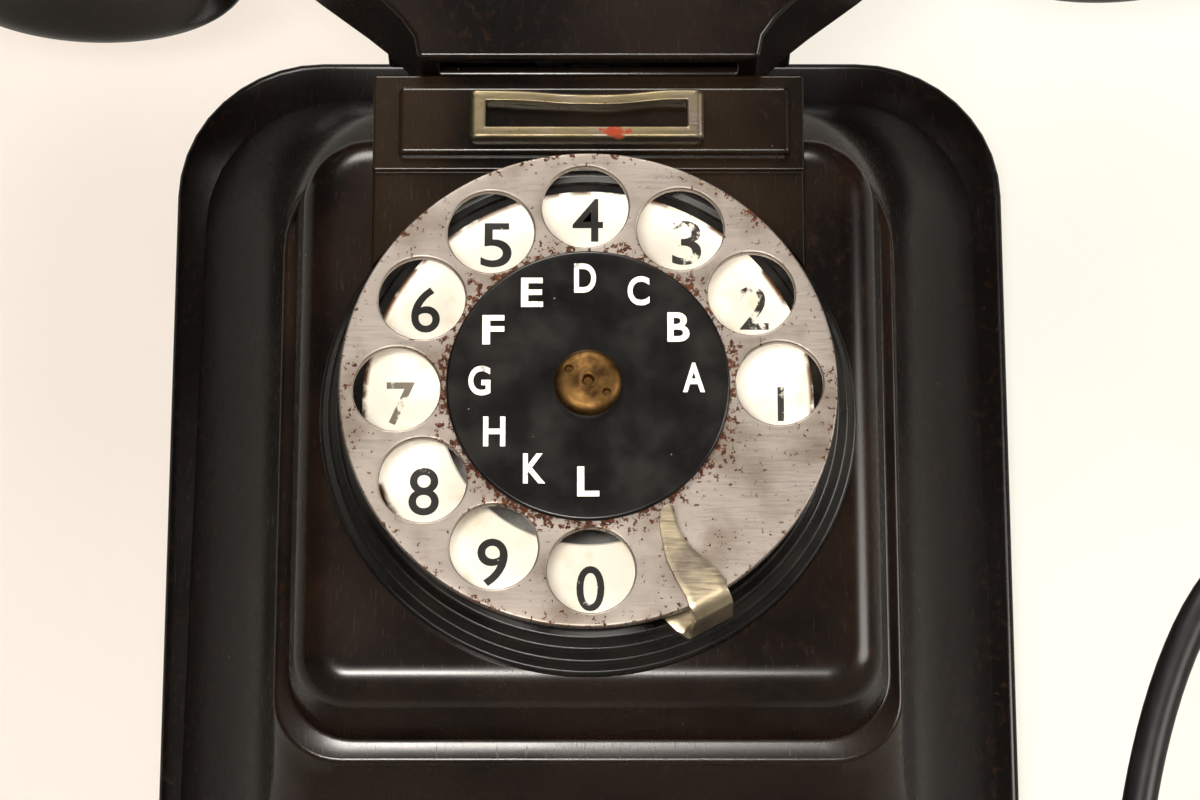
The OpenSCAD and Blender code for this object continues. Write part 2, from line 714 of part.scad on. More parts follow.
module ringer_coils() color(copper) from_wall() for (side = [-1, 1])
    translate([side * coil_x, 0, ringer_out]) rotate([90, 0, 0]) difference() {
        union() {
            disc(coil_r - 0.8, -ringer_top + 2.5, -ringer_bottom - 6);
            disc(coil_r, -ringer_top + 2, -ringer_top + 3);
            disc(coil_r, -ringer_bottom - 6, -ringer_bottom - 5);
        }
        disc(2.5, -ringer_top, -ringer_bottom);
    }

module ringer_magnet() color(steel) from_wall()
    block([-1.5, ringer_bottom + 6, plate_t + 2], [1.5, ringer_top - 2, ringer_out + 7]);

module gong(side) from_wall() translate([side * gong_x, gong_y, 0]) rotate_extrude() polygon(concat(
    [[gong_r, gong_back], [gong_r, gong_back + 3]],
    [for (a = [15 : 15 : 75])
        [gong_r * cos(a) + 3 * (1 - cos(a)), gong_back + 3 + (gong_deep - 3) * sin(a)]],
    [[3, gong_back + gong_deep], [gong_screw_r + 0.05, gong_back + gong_deep],
        [gong_screw_r + 0.05, gong_post]],
    [[3, gong_post]],
    [for (a = [75 : -15 : 15]) [(gong_r - gong_t) * cos(a) + 3 * (1 - cos(a)),
        gong_back + 3 + (gong_deep - 3 - gong_t) * sin(a)]],
    [[gong_r - gong_t, gong_back + 3], [gong_r - gong_t, gong_back]]));

module gong_left() color(brass) gong(-1);
module gong_right() color(brass) gong(1);

module gong_screws() color(steel) from_wall() for (side = [-1, 1])
    translate([side * gong_x, gong_y, gong_back + gong_deep]) screw(gong_screw_r, 7, 2.6, 1.3);

module ringer_armature() color(steel) from_wall() difference() {
    union() {
        block([-14, pivot_y - 1.4, ringer_out - 3], [14, pivot_y + 1, ringer_out + 3]);
        translate([0, pivot_y, 0]) disc(pivot_r + 1.2, ringer_out - 4, ringer_out + 4);
    }
    translate([0, pivot_y, 0]) disc(pivot_r + shaft_gap, ringer_out - 5, ringer_out + 5);
}

module clapper() color(brass) from_wall() translate([0, 0, ringer_out]) {
    rotate([90, 0, 0]) disc(0.8, -pivot_y + pivot_r + 1.2, gong_down - 1);
    translate([0, gong_y, 0]) sphere(r = ball_d / 2);
}

// ---------------------------------------------------------------- electrical pieces on the plate

can_low = [-52, -24, plate_t];
can_high = [-25, 14, plate_t + 14];
strap_t = 0.8;
strap_w = 8;

module condenser() color(steel) from_wall() {
    block(can_low, can_high);
    for (x = [-44, -33]) translate([x, can_high[1], 9]) rotate([-90, 0, 0]) disc(1.2, -0.1, 3);
}

module condenser_strap() color(steel) from_wall() let (y = (can_low[1] + can_high[1] - strap_w) / 2) {
    block([can_low[0] - strap_t, y, plate_t], [can_low[0], y + strap_w, can_high[2]]);
    block([can_high[0], y, plate_t], [can_high[0] + strap_t, y + strap_w, can_high[2]]);
    block([can_low[0] - strap_t, y, can_high[2]],
        [can_high[0] + strap_t, y + strap_w, can_high[2] + strap_t]);
    block([can_high[0], y, plate_t], [can_high[0] + 5, y + strap_w, plate_t + strap_t]);
}

module induction_coil() color(copper) from_wall() {
    for (y = [-24, 12]) block([28, y, plate_t], [48, y + 2, plate_t + 18]);
    translate([38, 0, plate_t + 9]) rotate([-90, 0, 0]) disc(7.5, -22.1, 12.1);
}

module terminal_block() color(rubber) from_wall() difference() {
    block([-27, 24, plate_t], [27, 38, plate_t + 9]);
    for (i = [0 : 5]) translate([-22 + 8.8 * i, 31, 0]) disc(1.1, plate_t + 2, plate_t + 10);
}

module terminal_screws() color(brass) from_wall() for (i = [0 : 5])
    translate([-22 + 8.8 * i, 31, plate_t + 9]) screw(1.1, 6, 2.6, 1.6);

// ---------------------------------------------------------------- hook switch

module hook_switch_bracket() color(steel) from_wall() difference() {
    union() {
        block([-6, switch_y - 4.5, switch_out - switch_t], [30, switch_y + 9.5, switch_out]);
        for (x = [-3, 27]) translate([x, switch_y + 4, 0]) disc(2.8, plate_t, switch_out - switch_t + 0.1);
    }
    translate([lever_arm, switch_y, 0]) disc(pin_r, switch_out - 4, switch_out + 1);
}

module hook_pivot_pin() color(steel) from_wall() translate([lever_arm, switch_y, 0]) {
    disc(pin_r, switch_out - switch_t, stem_out + 5.6);
    disc(pin_r + 1, stem_out + 5, stem_out + 5.8);
}

module hook_lever() color(brass) from_wall() translate([0, switch_y, 0]) difference() {
    union() {
        block([1, -1, stem_out - 3], [lever_arm + 1, 1, stem_out + 3]);
        disc(1.9, stem_out - 3, stem_out + 3);
        translate([lever_arm, 0, 0]) disc(2.6, switch_out + 0.4, stem_out + 4.7);
        block([lever_arm - 1, -1, stem_out - 3], [lever_arm + 8, 1.2, stem_out + 1]);
        translate([lever_arm + 8, 1.2, 0]) disc(1.4, stem_out - 3, stem_out + 1);
    }
    translate([lever_arm, 0, 0]) disc(pin_r + shaft_gap, switch_out - 1, stem_out + 6);
}

leaf_low = switch_y + 2.9;

module hook_contacts() color(brass) from_wall() {
    block([24.5, leaf_low - 0.6, switch_out], [29.5, leaf_low + 5.4, stem_out + 2]);
    for (i = [0 : 2]) block([18, leaf_low + 2 * i, stem_out - 3],
        [25, leaf_low + 2 * i + 0.4, stem_out + 1]);
}

// The return spring round the stem, from the guide up to the stem's plate.
coil_turns = 3;
hook_spring_r = stem_r + 1.6;
hook_spring_wire = 0.6;
spring_low = neck_top + guide_lip;
spring_high = roof - stem_plate_t;
hook_pitch = (spring_high - spring_low - 2 * hook_spring_wire) / (coil_turns + 1);

module hook_spring() color(steel) translate([0, -stem_out, 0])
    for (i = [0 : coil_turns + 1]) translate([0, 0, spring_low + hook_spring_wire + hook_pitch * i])
        rotate_extrude() translate([hook_spring_r, 0]) circle(r = hook_spring_wire, $fn = 16);

// ---------------------------------------------------------------- cradle

// Half of the front outline: from the foot up the flared side, over the horn and down into the saddle.
apron_w = 54.6;
arm_x = fork_mid + fork_t / 2;
arm_up = 90;                     // where the forks rise from the arms, above the dial's axis
arm_low = dial_up + arm_up;
rear_half_w = 34;                // the part behind the neck's front
hollow_half_w = 24;
saddle_r = 9;
horn_tip = horn_top + horn_r;
function flare(t) = [apron_w / 2 + (arm_x - apron_w / 2) * t * t * (3 - 2 * t),
    cradle_bottom + (arm_low - cradle_bottom) * t];
right_half = concat(
    [for (i = [0 : 10]) flare(i / 10)],
    arc(fork_mid, horn_tip - fork_t / 2, fork_t / 2, 0, 6),
    arc(fork_mid, horn_tip - fork_t / 2, fork_t / 2, 90, 6),
    [for (a = [0 : -15 : -90]) [fork_mid - fork_t / 2 - saddle_r * (1 - cos(a)),
        bridge_top + saddle_r * (1 + sin(a))]]);
cradle_outline = concat(right_half,
    [for (i = [len(right_half) - 1 : -1 : 0]) [-right_half[i][0], right_half[i][1]]]);

module cradle_front_view(low, high) translate([0, 0, low]) linear_extrude(high - low)
    polygon(cradle_outline);

// The fork, seen from the side: an open seat for the grip between two horns, on a curved arm.
fork_out_w = fork_in_w + fork_wall;
fork_low = fork_y - fork_in_h;
arm_rear = arm_low - 2;
arm_front = step_out + 0.6;
function horn(side) = concat(arc(side * (fork_in_w + horn_r + 0.2), horn_top, horn_r, 0, 6),
    arc(side * (fork_in_w + horn_r + 0.2), horn_top, horn_r, 90, 6));

module fork_side() translate([-fork_out, 0]) polygon(concat(
    [[fork_out - arm_front, roof - 1], [fork_out - arm_front, arm_rear]],
    [for (a = [90 : -15 : 0]) [fork_out_w - (fork_out_w - fork_out + arm_front) * (1 - cos(a)),
        fork_low - (fork_low - arm_rear) * sin(a)]],
    horn(1),
    [for (a = [0 : -10 : -180]) [fork_in_w * cos(a), fork_y + fork_in_h * sin(a)]],
    horn(-1),
    [[-fork_out_w, fork_low], [-fork_out_w, roof - 1]]));

cradle_back = fork_out - fork_out_w + 1;

module cradle() color(carbolite) difference() {
    union() {
        // Apron and bridge
        from_wall() intersection() {
            cradle_front_view(cradle_back, cradle_front);
            union() {
                block([-arm_x - 1, cradle_bottom - 1, arm_front],
                    [arm_x + 1, bridge_top + saddle_r, cradle_front]);
                block([-rear_half_w, step_bottom, cradle_back],
                    [rear_half_w, bridge_top + saddle_r, cradle_front]);
            }
        }
        // Forks
        intersection() {
            from_wall() cradle_front_view(0, cradle_front);
            for (side = [-1, 1]) translate([side * fork_mid - fork_t / 2 - (1 - side) / 2, 0, 0])
                rotate([90, 0, 90]) linear_extrude(fork_t + 1) fork_side();
        }
    }
    // Hollow underside round the stem
    translate([0, -stem_out, 0]) {
        block([-hollow_half_w, stem_out - cradle_front + cradle_t, cradle_bottom - 1],
            [hollow_half_w, stem_out - step_out - 4, roof]);
        block([-hollow_half_w, stem_out - cradle_front + cradle_t, step_bottom], [hollow_half_w, 12, roof]);
        disc(stem_pocket_r, cradle_bottom - 1, roof);
    }
    for (x = stem_screw_x) translate([x, -stem_out, 0]) disc(cradle_screw_r, roof - 1, bridge_top + 1);
    for (x = stem_screw_x) translate([x, -stem_out, 0]) disc(2.3, bridge_top - 1.2, bridge_top + 1);
}

stem_pocket_r = 9;
stem_screw_x = [-17, 17];
cradle_screw_r = 1.5;

module cradle_stem() color(steel) translate([0, -stem_out, 0]) difference() {
    union() {
        disc(stem_r, stem_bottom, roof - stem_plate_t + 0.1);
        block([-21, -4, roof - stem_plate_t], [21, 4, roof]);
        disc(7, roof - stem_plate_t, roof);
    }
    for (x = stem_screw_x) translate([x, 0, 0]) disc(cradle_screw_r, roof - 4, roof + 1);
}

module cradle_screws() color(steel) for (x = stem_screw_x)
    translate([x, -stem_out, bridge_top - 1.2])
        screw(cradle_screw_r, cradle_t - 1.2 + stem_plate_t, 2.2, 1.1);

// ---------------------------------------------------------------- handset

// Half-width, half-height and dip of the grip, from its middle (0) to where it meets a head (1).
function grip_half_w(t) = grip_w / 2 + 6 * pow(abs(t), 5);
function grip_half_h(t) = grip_h / 2 + 4 * pow(abs(t), 5);
function grip_dip(t) = 4 * t * t;
function grip_ring(t, n = 20) = [for (i = [0 : n - 1]) let (a = 360 * i / n)
    [t * grip_reach, grip_half_w(t) * cos(a), grip_half_h(t) * sin(a) - grip_dip(t)]];

// A cup-shaped end of the moulding, opening downwards.
module head(x, top_r) translate([x, -fork_out, 0]) rotate_extrude() polygon(concat(
    [[0, head_top - 3], [0, head_top]],
    [for (a = [75 : -15 : 0]) [top_r - 12 + 12 * cos(a), head_top - 14 + 14 * sin(a)]],
    [[head_r, head_base + 4], [head_r, head_base], [head_r - 2, head_base],
        [head_r - 2, head_base - spigot],
     [head_r - 4.5, head_base - spigot], [head_r - 4.5, head_top - 14]],
    [[head_r - 8, head_top - 5], [head_r - 14, head_top - 3]]));

module head_hollow(x) translate([x, -fork_out, 0]) rotate_extrude() polygon(
    [[0, head_base - 5], [head_r - 4.5, head_base - 5], [head_r - 4.5, head_top - 14],
        [head_r - 8, head_top - 5],
     [head_r - 14, head_top - 3], [0, head_top - 3]]);

module handset_handle() color(carbolite) difference() {
    union() {
        translate([0, -fork_out, grip_up]) loft([for (t = [-1 : 0.125 : 1]) grip_ring(t)]);
        head(ear_x, head_r);
        head(mouth_x, head_r);
        translate([relief_nose - nose_l, -fork_out, nose_z]) rotate([0, 90, 0]) disc(nose_r, 0, nose_l);
    }
    head_hollow(ear_x);
    head_hollow(mouth_x);
    translate([mouth_x + head_r - 10, -fork_out, nose_z]) rotate([0, 90, 0])
        disc(bushing_r, 0, nose_l + 10);
}

spigot = 3.5;        // what a cap screws onto
cap_floor = 3;

// A screw-on cap: skirt, rounded edge and a drilled face.
module cap(x, r, face, rise) translate([x, -fork_out, 0]) difference() {
    rotate_extrude() polygon(concat(
        [[0, face + rise], [r * 0.35, face + rise * 0.7], [r * 0.62, face + 0.4], [r * 0.7, face],
            [r * 0.8, face + 0.3]],
        [for (a = [-60 : 20 : 0]) [r - 5 + 5 * cos(a), face + 6 + 5.7 * sin(a)]],
        [[r, head_base - 1], [r - 0.8, head_base], [head_r - 1.9, head_base],
            [head_r - 1.9, head_base - spigot - 0.3],
         [head_r - 3, head_base - spigot - 0.3], [head_r - 3, face + 5], [head_r - 4.6, face + cap_floor],
         [0, face + cap_floor]]));
    disc(1.1, face - 1, face + 10);
    for (i = [0 : 5]) rotate([0, 0, 60 * i]) translate([r * 0.27, 0, 0]) disc(1.1, face - 1, face + 10);
}

module ear_cap() color(carbolite) cap(ear_x, ear_d / 2, ear_face, 2.5);
module mouthpiece_cap() color(carbolite) cap(mouth_x, mouth_d / 2, mouth_face, 1);

module capsule(x, low, high) translate([x, -fork_out, 0]) {
    disc(head_r - 5, low, high);
    disc(8, high - 0.1, high + 3);
}

module receiver_capsule() color(nickel) capsule(ear_x, ear_face + cap_floor, head_base + 2);
module transmitter_capsule() color(brass) capsule(mouth_x, mouth_face + cap_floor, head_base - 1);

// The handset's strain relief, from the hollow of the mouth end out past its nose.
module handset_cord_bushing() color(rubber) translate([0, -fork_out, nose_z]) rotate([0, 90, 0])
    difference() {
    union() {
        disc(bushing_r, relief_start, relief_nose);
        translate([0, 0, relief_nose - 0.001])
            cylinder(r1 = bushing_r, r2 = cord_r + 1, h = relief_end - relief_nose);
    }
    disc(cord_r + cord_gap, relief_start - 1, relief_end + 1);
}

// ---------------------------------------------------------------- cord

// A smooth curve through the route's points, and rings square to it.
function curve(p, i, t) = let (
        a = p[max(i - 1, 0)], b = p[i], c = p[i + 1], d = p[min(i + 2, len(p) - 1)])
    0.5 * (2 * b + (c - a) * t + (2 * a - 5 * b + 4 * c - d) * t * t + (3 * b - a - 3 * c + d) * t * t * t);

function unit(v) = v / norm(v);

cord_points = concat(
    [for (i = [0 : len(cord_route) - 2], k = [0 : cord_steps - 1]) curve(cord_route, i, k / cord_steps)],
    [cord_route[len(cord_route) - 1]]);

function cord_ring(i) = let (
        last = len(cord_points) - 1,
        along = unit(cord_points[min(i + 1, last)] - cord_points[max(i - 1, 0)]),
        side = unit(cross(along, [0, 1, 0])), up = cross(side, along))
    [for (k = [0 : cord_sides - 1]) let (a = 360 * k / cord_sides)
        cord_points[i] + cord_r * (side * cos(a) + up * sin(a))];

module handset_cord() color(rubber) loft([for (i = [0 : len(cord_points) - 1]) cord_ring(i)]);

// ---------------------------------------------------------------- assembly

back_plate();
housing();
cradle_guide();
label_frame();
cover_screws();
cord_bushing();
dial_case();
case_screws();
number_plate();
dial_frame();
dial_screws();
finger_stop();
pulse_contacts();
governor_cup();
mainspring();
finger_wheel();
letter_disc();
dial_hub();
main_shaft();
main_gear();
idler_shaft();
second_gear();
pulse_cam();
governor_shaft();
governor_weights();
ringer_frame();
ringer_coils();
ringer_magnet();
gong_left();
gong_right();
gong_screws();
ringer_armature();
clapper();
condenser();
condenser_strap();
induction_coil();
terminal_block();
terminal_screws();
hook_switch_bracket();
hook_contacts();
hook_pivot_pin();
hook_lever();
hook_spring();
cradle();
cradle_stem();
cradle_screws();
handset_handle();
ear_cap();
receiver_capsule();
mouthpiece_cap();
transmitter_capsule();
handset_cord_bushing();
handset_cord();
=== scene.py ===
# %% [markdown]
# A wall telephone in a moulded resin case. The case is a flared skirt that carries a raised block, and on
# the block sits a finger dial. A sprung cradle rises behind the label and holds the handset crosswise.
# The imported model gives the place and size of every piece. This lesson makes the visible ones smooth and
# gives each surface a finish. Shapes are drawn in millimetres, and one matrix turns them into place.

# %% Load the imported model
from math import cos, pi, radians, sin

import bmesh
import bpy
from mathutils import Matrix, Vector


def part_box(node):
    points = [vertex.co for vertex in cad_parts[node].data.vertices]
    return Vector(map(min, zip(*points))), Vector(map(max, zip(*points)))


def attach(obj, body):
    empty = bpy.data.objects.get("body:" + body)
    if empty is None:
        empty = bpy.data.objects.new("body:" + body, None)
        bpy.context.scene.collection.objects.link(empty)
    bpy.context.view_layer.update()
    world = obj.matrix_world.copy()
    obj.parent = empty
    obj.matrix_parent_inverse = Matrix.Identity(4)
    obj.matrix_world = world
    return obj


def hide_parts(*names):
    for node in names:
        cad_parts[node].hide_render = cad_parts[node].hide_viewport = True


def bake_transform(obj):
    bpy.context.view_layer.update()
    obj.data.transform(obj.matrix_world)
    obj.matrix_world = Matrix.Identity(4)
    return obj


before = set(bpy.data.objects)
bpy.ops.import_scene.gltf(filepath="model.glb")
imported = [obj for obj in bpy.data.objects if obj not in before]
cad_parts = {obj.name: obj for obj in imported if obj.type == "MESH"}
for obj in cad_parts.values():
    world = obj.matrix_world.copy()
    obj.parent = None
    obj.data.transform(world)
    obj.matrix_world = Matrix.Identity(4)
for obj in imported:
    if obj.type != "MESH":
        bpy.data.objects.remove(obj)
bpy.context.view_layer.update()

# %% [markdown]
# The row frame has X to the right, Y into the wall and Z up. A dial, a label or a housing is easier to
# draw lying on a table, with x right, y up and z as its height out from the wall. The two matrices below
# stand such a drawing against the wall and turn millimetres into metres, one from the foot's middle and
# one from the dial's axis.

# %% From a drawing on the table to the wall
MM = 0.001
on_wall = Matrix.Rotation(radians(90), 4, "X") @ Matrix.Scale(MM, 4)
upright = Matrix.Scale(MM, 4)


def middle(node):
    low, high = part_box(node)
    return (low + high) / 2 / MM


def reach(node):
    low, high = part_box(node)
    return (high - low) / MM


def mesh_from(bm, name):
    mesh = bpy.data.meshes.new(name)
    bm.to_mesh(mesh)
    bm.free()
    return mesh


def put_in_scene(name, data):
    thing = bpy.data.objects.new(name, data)
    bpy.context.scene.collection.objects.link(thing)
    return thing


dial_up = middle("finger_wheel").z
on_dial = Matrix.Translation((0, 0, dial_up * MM)) @ on_wall
print("dial axis at", round(dial_up, 2), "mm")

# %% [markdown]
# The camera stands low in front of the wall and looks up a little, with a long lens. The dial is in the
# middle of the frame. Its distance is counted from the finger wheel's front along the line of sight.

# %% Camera
LOOK_UP = radians(18.35)
LENS = 135.0
DISTANCE = 693.0
SHIFT_RIGHT = 1.85
SHIFT_DOWN = 2.2
wheel_front = -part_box("letter_disc")[1].y / MM

sight = Vector((0, cos(LOOK_UP), sin(LOOK_UP)))
frame_up = Vector((0, -sin(LOOK_UP), cos(LOOK_UP)))
target = Vector((0, -wheel_front, dial_up))
camera = put_in_scene("camera", bpy.data.cameras.new("camera"))
camera.data.lens = LENS
camera.data.sensor_width = 36.0
camera.data.clip_start = 0.05
camera.location = (target - sight * DISTANCE + Vector((SHIFT_RIGHT, 0, 0)) - frame_up * SHIFT_DOWN) * MM
camera.rotation_euler = (radians(90) + LOOK_UP, 0, 0)
bpy.context.scene.camera = camera
print("camera at", [round(c, 4) for c in camera.location])

# %% [markdown]
# Most pieces start as a bmesh. One helper closes the work: it merges doubled points, turns the faces
# outwards, moves the drawing into place and shades it smooth up to an angle. The piece then rides on the
# body that carries it, and stands for the plain solid if it is given one.

# %% Helper that finishes a piece
def finish(bm, name, matrix, material, body, stands_for=None, angle=35, weld=0.001):
    if weld:
        bmesh.ops.remove_doubles(bm, verts=bm.verts, dist=weld)
        bmesh.ops.recalc_face_normals(bm, faces=bm.faces)
    bmesh.ops.transform(bm, matrix=matrix, verts=bm.verts)
    mesh = mesh_from(bm, name)
    mesh.polygons.foreach_set("use_smooth", [True] * len(mesh.polygons))
    mesh.set_sharp_from_angle(angle=radians(angle))
    mesh.materials.append(material)
    piece = put_in_scene(name, mesh)
    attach(piece, body)
    if stands_for:
        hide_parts(stands_for)
    print(name, "has", len(mesh.polygons), "faces")
    return piece


# %% [markdown]
# A piece of this telephone that is turned on a lathe, such as a cap, a bezel or a bushing, is one profile
# spun round an axis. The profile is a row of points (radius, height). A profile that starts and ends on
# the axis closes by itself, and a ring's profile is joined end to end first.

# %% Helper that spins a profile
def spin_profile(bm, profile, steps=96, closed=False):
    verts = [bm.verts.new((radius, 0, height)) for radius, height in profile]
    edges = [bm.edges.new(pair) for pair in zip(verts, verts[1:])]
    if closed:
        edges.append(bm.edges.new((verts[-1], verts[0])))
    bmesh.ops.spin(bm, geom=verts + edges, cent=(0, 0, 0), axis=(0, 0, 1), angle=2 * pi, steps=steps,
                   use_merge=True, use_duplicate=False)
    bmesh.ops.remove_doubles(bm, verts=bm.verts, dist=0.0005)


def edges_of(verts):
    return list({edge for vert in verts for edge in vert.link_edges})


def bridge_all(bm, loops):
    for first, second in zip(loops, loops[1:]):
        bmesh.ops.bridge_loops(bm, edges=first + second)


def rod(bm, radius, depth, matrix, segments):
    bmesh.ops.create_cone(bm, cap_ends=True, segments=segments, radius1=radius, radius2=radius, depth=depth,
                          matrix=matrix)


def arc(x, y, radius, start, end, steps=6):
    """Points on a round stretch of an outline, in degrees."""
    angles = [radians(start + (end - start) * i / steps) for i in range(steps + 1)]
    return [(x + radius * cos(a), y + radius * sin(a)) for a in angles]


# %% [markdown]
# Every pattern below needs the same few things: a colour written as a designer would write it, a texture
# that knows its size in millimetres, and nodes that are quick to add. `add` adds any node with its
# settings and links. Object coordinates are metres here, so a texture's scale is one over its size.

# %% Helpers for materials
def linear(code, alpha=1.0):
    """A colour such as "1c140f" as the linear values that a shader takes."""
    parts = [int(code[i:i + 2], 16) / 255 for i in (0, 2, 4)]
    return [p / 12.92 if p <= 0.04045 else ((p + 0.055) / 1.055) ** 2.4 for p in parts] + [alpha]


def per_mm(size):
    return 1000.0 / size


def add(tree, kind, inputs=None, stops=None, **settings):
    node = tree.nodes.new("ShaderNode" + kind)
    for name, value in settings.items():
        setattr(node, name, value)
    for key, value in (inputs or {}).items():
        if isinstance(value, bpy.types.NodeSocket):
            tree.links.new(value, node.inputs[key])
        else:
            node.inputs[key].default_value = value
    for i, (position, value) in enumerate(stops or []):
        elements = node.color_ramp.elements
        element = elements[i] if i < 2 else elements.new(position)
        element.position = position
        element.color = [value] * 3 + [1.0] if isinstance(value, float) else value
    return node


def open_material(name):
    material = bpy.data.materials.new(name)
    material.use_nodes = True
    tree = material.node_tree
    tree.nodes.clear()
    place = add(tree, "TexCoord").outputs["Object"]
    return material, tree, place


def close_material(tree, **sockets):
    shader = add(tree, "BsdfPrincipled", {name.replace("_", " "): value for name, value in sockets.items()})
    add(tree, "OutputMaterial", {"Surface": shader.outputs["BSDF"]})


def noise(tree, place, size, detail=3.0, rough=0.5):
    return add(tree, "TexNoise", {"Vector": place, "Scale": per_mm(size), "Detail": detail,
                                  "Roughness": rough}).outputs["Fac"]


def calc(tree, operation, first, second):
    return add(tree, "Math", {0: first, 1: second}, operation=operation).outputs[0]


def remap(tree, value, low, high, start=0.3, end=0.7):
    """The range from start to end, turned into the range from low to high."""
    return add(tree, "MapRange", {"Value": value, "From Min": start, "From Max": end, "To Min": low,
                                  "To Max": high}).outputs["Result"]


def mask(tree, value, start, end):
    """0 below start and 1 above end, with a soft step between."""
    return add(tree, "MapRange", {"Value": value, "From Min": start, "From Max": end},
               interpolation_type="SMOOTHSTEP").outputs["Result"]


def blend_colours(tree, share, first, second):
    return add(tree, "Mix", {0: share, 6: first, 7: second}, data_type="RGBA").outputs[2]


def specks(tree, place, spacing, size):
    """Scattered dots: most cells of the pattern hold none, and the largest is `size` across."""
    cell = add(tree, "TexVoronoi", {"Vector": place, "Scale": per_mm(spacing)})
    chance = add(tree, "SeparateColor", {"Color": cell.outputs["Color"]}).outputs["Red"]
    radius = remap(tree, chance, 0.0, size / spacing / 2, start=0.55, end=1.0)
    return calc(tree, "LESS_THAN", cell.outputs["Distance"], radius)


def bump(tree, height, depth, strength=1.0):
    return add(tree, "Bump", {"Height": height, "Distance": depth * MM, "Strength": strength}
               ).outputs["Normal"]


def stretch(tree, place, x, y, z):
    return add(tree, "Mapping", {"Vector": place, "Scale": (x, y, z)}).outputs["Vector"]


def from_dial_axis(tree, place):
    """The distance from the dial's axis, in metres."""
    away = add(tree, "VectorMath", {0: place, 1: (0, 0, dial_up * MM)}, operation="SUBTRACT").outputs[0]
    flat = add(tree, "VectorMath", {0: away, 1: (1, 0, 1)}, operation="MULTIPLY").outputs[0]
    return add(tree, "VectorMath", {0: flat}, operation="LENGTH").outputs["Value"]


# %% [markdown]
# The case, the cradle and the handset are carbolite, a phenolic resin with dark filler, pressed hot in a
# polished steel mould. It is brown-black, and browner where hands and light have worn its skin. The gloss
# has dulled unevenly, hair scratches run all over, and pale dust sits in the pores. The index is set at
# 1.42, lower than clean resin has, because a film of grime takes away part of the sheen.
# One recipe serves the case, its grimy neck and the handset, with the wear turned up or down.

# %% Carbolite, hot-pressed and polished
def carbolite(name, brown, wear):
    material, tree, place = open_material(name)
    cloud = noise(tree, place, 26.0, detail=2.0)
    filler = noise(tree, place, 1.6, detail=5.0, rough=0.65)
    out = add(tree, "SeparateXYZ", {"Vector": place}).outputs["Y"]
    handled = calc(tree, "MULTIPLY", mask(tree, out, -0.014, -0.045), mask(tree, cloud, 0.3, 0.62))
    skin = blend_colours(tree, handled, linear("090605"), linear(brown))
    mottled = blend_colours(tree, mask(tree, filler, 0.5, 0.75), skin, linear("22140a"))
    # Hair scratches are 0.1 mm wide, drawn about 0.2 mm wide so that they show
    hairs = noise(tree, stretch(tree, place, 1.0, 1.0, 0.1), 0.3, detail=2.0)
    dust = specks(tree, place, 5.0, 0.5)
    coloured = blend_colours(tree, dust, mottled, linear("6b5e4d"))
    dulled = calc(tree, "ADD", mask(tree, cloud, 0.25, 0.75), mask(tree, hairs, 0.6, 0.75))
    gloss = remap(tree, dulled, 0.2, 0.2 + wear, start=0.0, end=2.0)
    close_material(tree, Base_Color=coloured, Roughness=gloss, IOR=1.42,
                   Normal=bump(tree, filler, 0.008, 0.4))
    return material


case_resin = carbolite("carbolite_case", "1a1009", 0.15)
neck_resin = carbolite("carbolite_neck", "1f1408", 0.16)
handset_resin = carbolite("carbolite_handset", "170f0a", 0.12)

# %% [markdown]
# The finger wheel, the label frame and the finger stop are pressed steel or brass with a nickel skin. Age
# has made the nickel grey and satin, and rust has come through in brown-red grains, thickest where fingers
# never wipe it: along the wheel's rim and round the edge of the letter disc. So the recipe works with the
# distance from the dial's axis. Fine scratches run from side to side, and the skin is faintly pitted.

# %% Worn nickel
def worn_nickel(name, colour, rust, satin, smear=None):
    material, tree, place = open_material(name)
    radius = from_dial_axis(tree, place)
    lines = noise(tree, stretch(tree, place, 0.07, 1.0, 1.0), 0.3, detail=3.0)
    grains = noise(tree, place, 0.8, detail=6.0, rough=0.62)
    patches = noise(tree, place, 8.0, detail=3.0)
    rim = add(tree, "ValToRGB", {"Fac": calc(tree, "MULTIPLY", radius, 25.0)},
              stops=[(0.55, 1.0), (0.59, 0.6), (0.66, 0.12), (0.86, 0.0), (0.93, 0.2), (0.965, 0.6)]
              ).outputs["Color"]
    liable = calc(tree, "ADD", rim, patches)
    depth = calc(tree, "ADD", grains, calc(tree, "MULTIPLY", liable, rust))
    rusty = mask(tree, depth, 0.71, 0.75)
    tarnish = blend_colours(tree, mask(tree, patches, 0.4, 0.75), linear(colour), linear("82776c"))
    shade = mask(tree, noise(tree, place, 0.5), 0.4, 0.65)
    brown = blend_colours(tree, shade, linear("2c1509"), linear("5f3218"))
    coloured = blend_colours(tree, rusty, tarnish, brown)
    if smear:
        # A streak of orange-red paint, left on one bar by a brush
        away = add(tree, "Mapping", {"Vector": place, "Location": [-c for c in smear]}).outputs["Vector"]
        streak = (1 / 0.0026, 0.0, 1 / 0.0009)
        away = add(tree, "VectorMath", {0: away, 1: streak}, operation="MULTIPLY").outputs[0]
        away = add(tree, "VectorMath", {0: away}, operation="LENGTH").outputs["Value"]
        drops = calc(tree, "MULTIPLY", noise(tree, place, 1.3, detail=4.0), 4.0)
        ragged = calc(tree, "ADD", away, drops)
        rusty = calc(tree, "MAXIMUM", rusty, mask(tree, ragged, 3.0, 2.6))
        coloured = blend_colours(tree, mask(tree, ragged, 3.1, 2.5), coloured, linear("8a3418"))
    metal = calc(tree, "SUBTRACT", 1.0, rusty)
    rougher = calc(tree, "MAXIMUM", remap(tree, lines, satin, satin + 0.14), rusty)
    crust = calc(tree, "ADD", lines, grains)
    close_material(tree, Base_Color=coloured, Metallic=metal, Roughness=rougher,
                   Normal=bump(tree, crust, 0.03, 0.5))
    return material


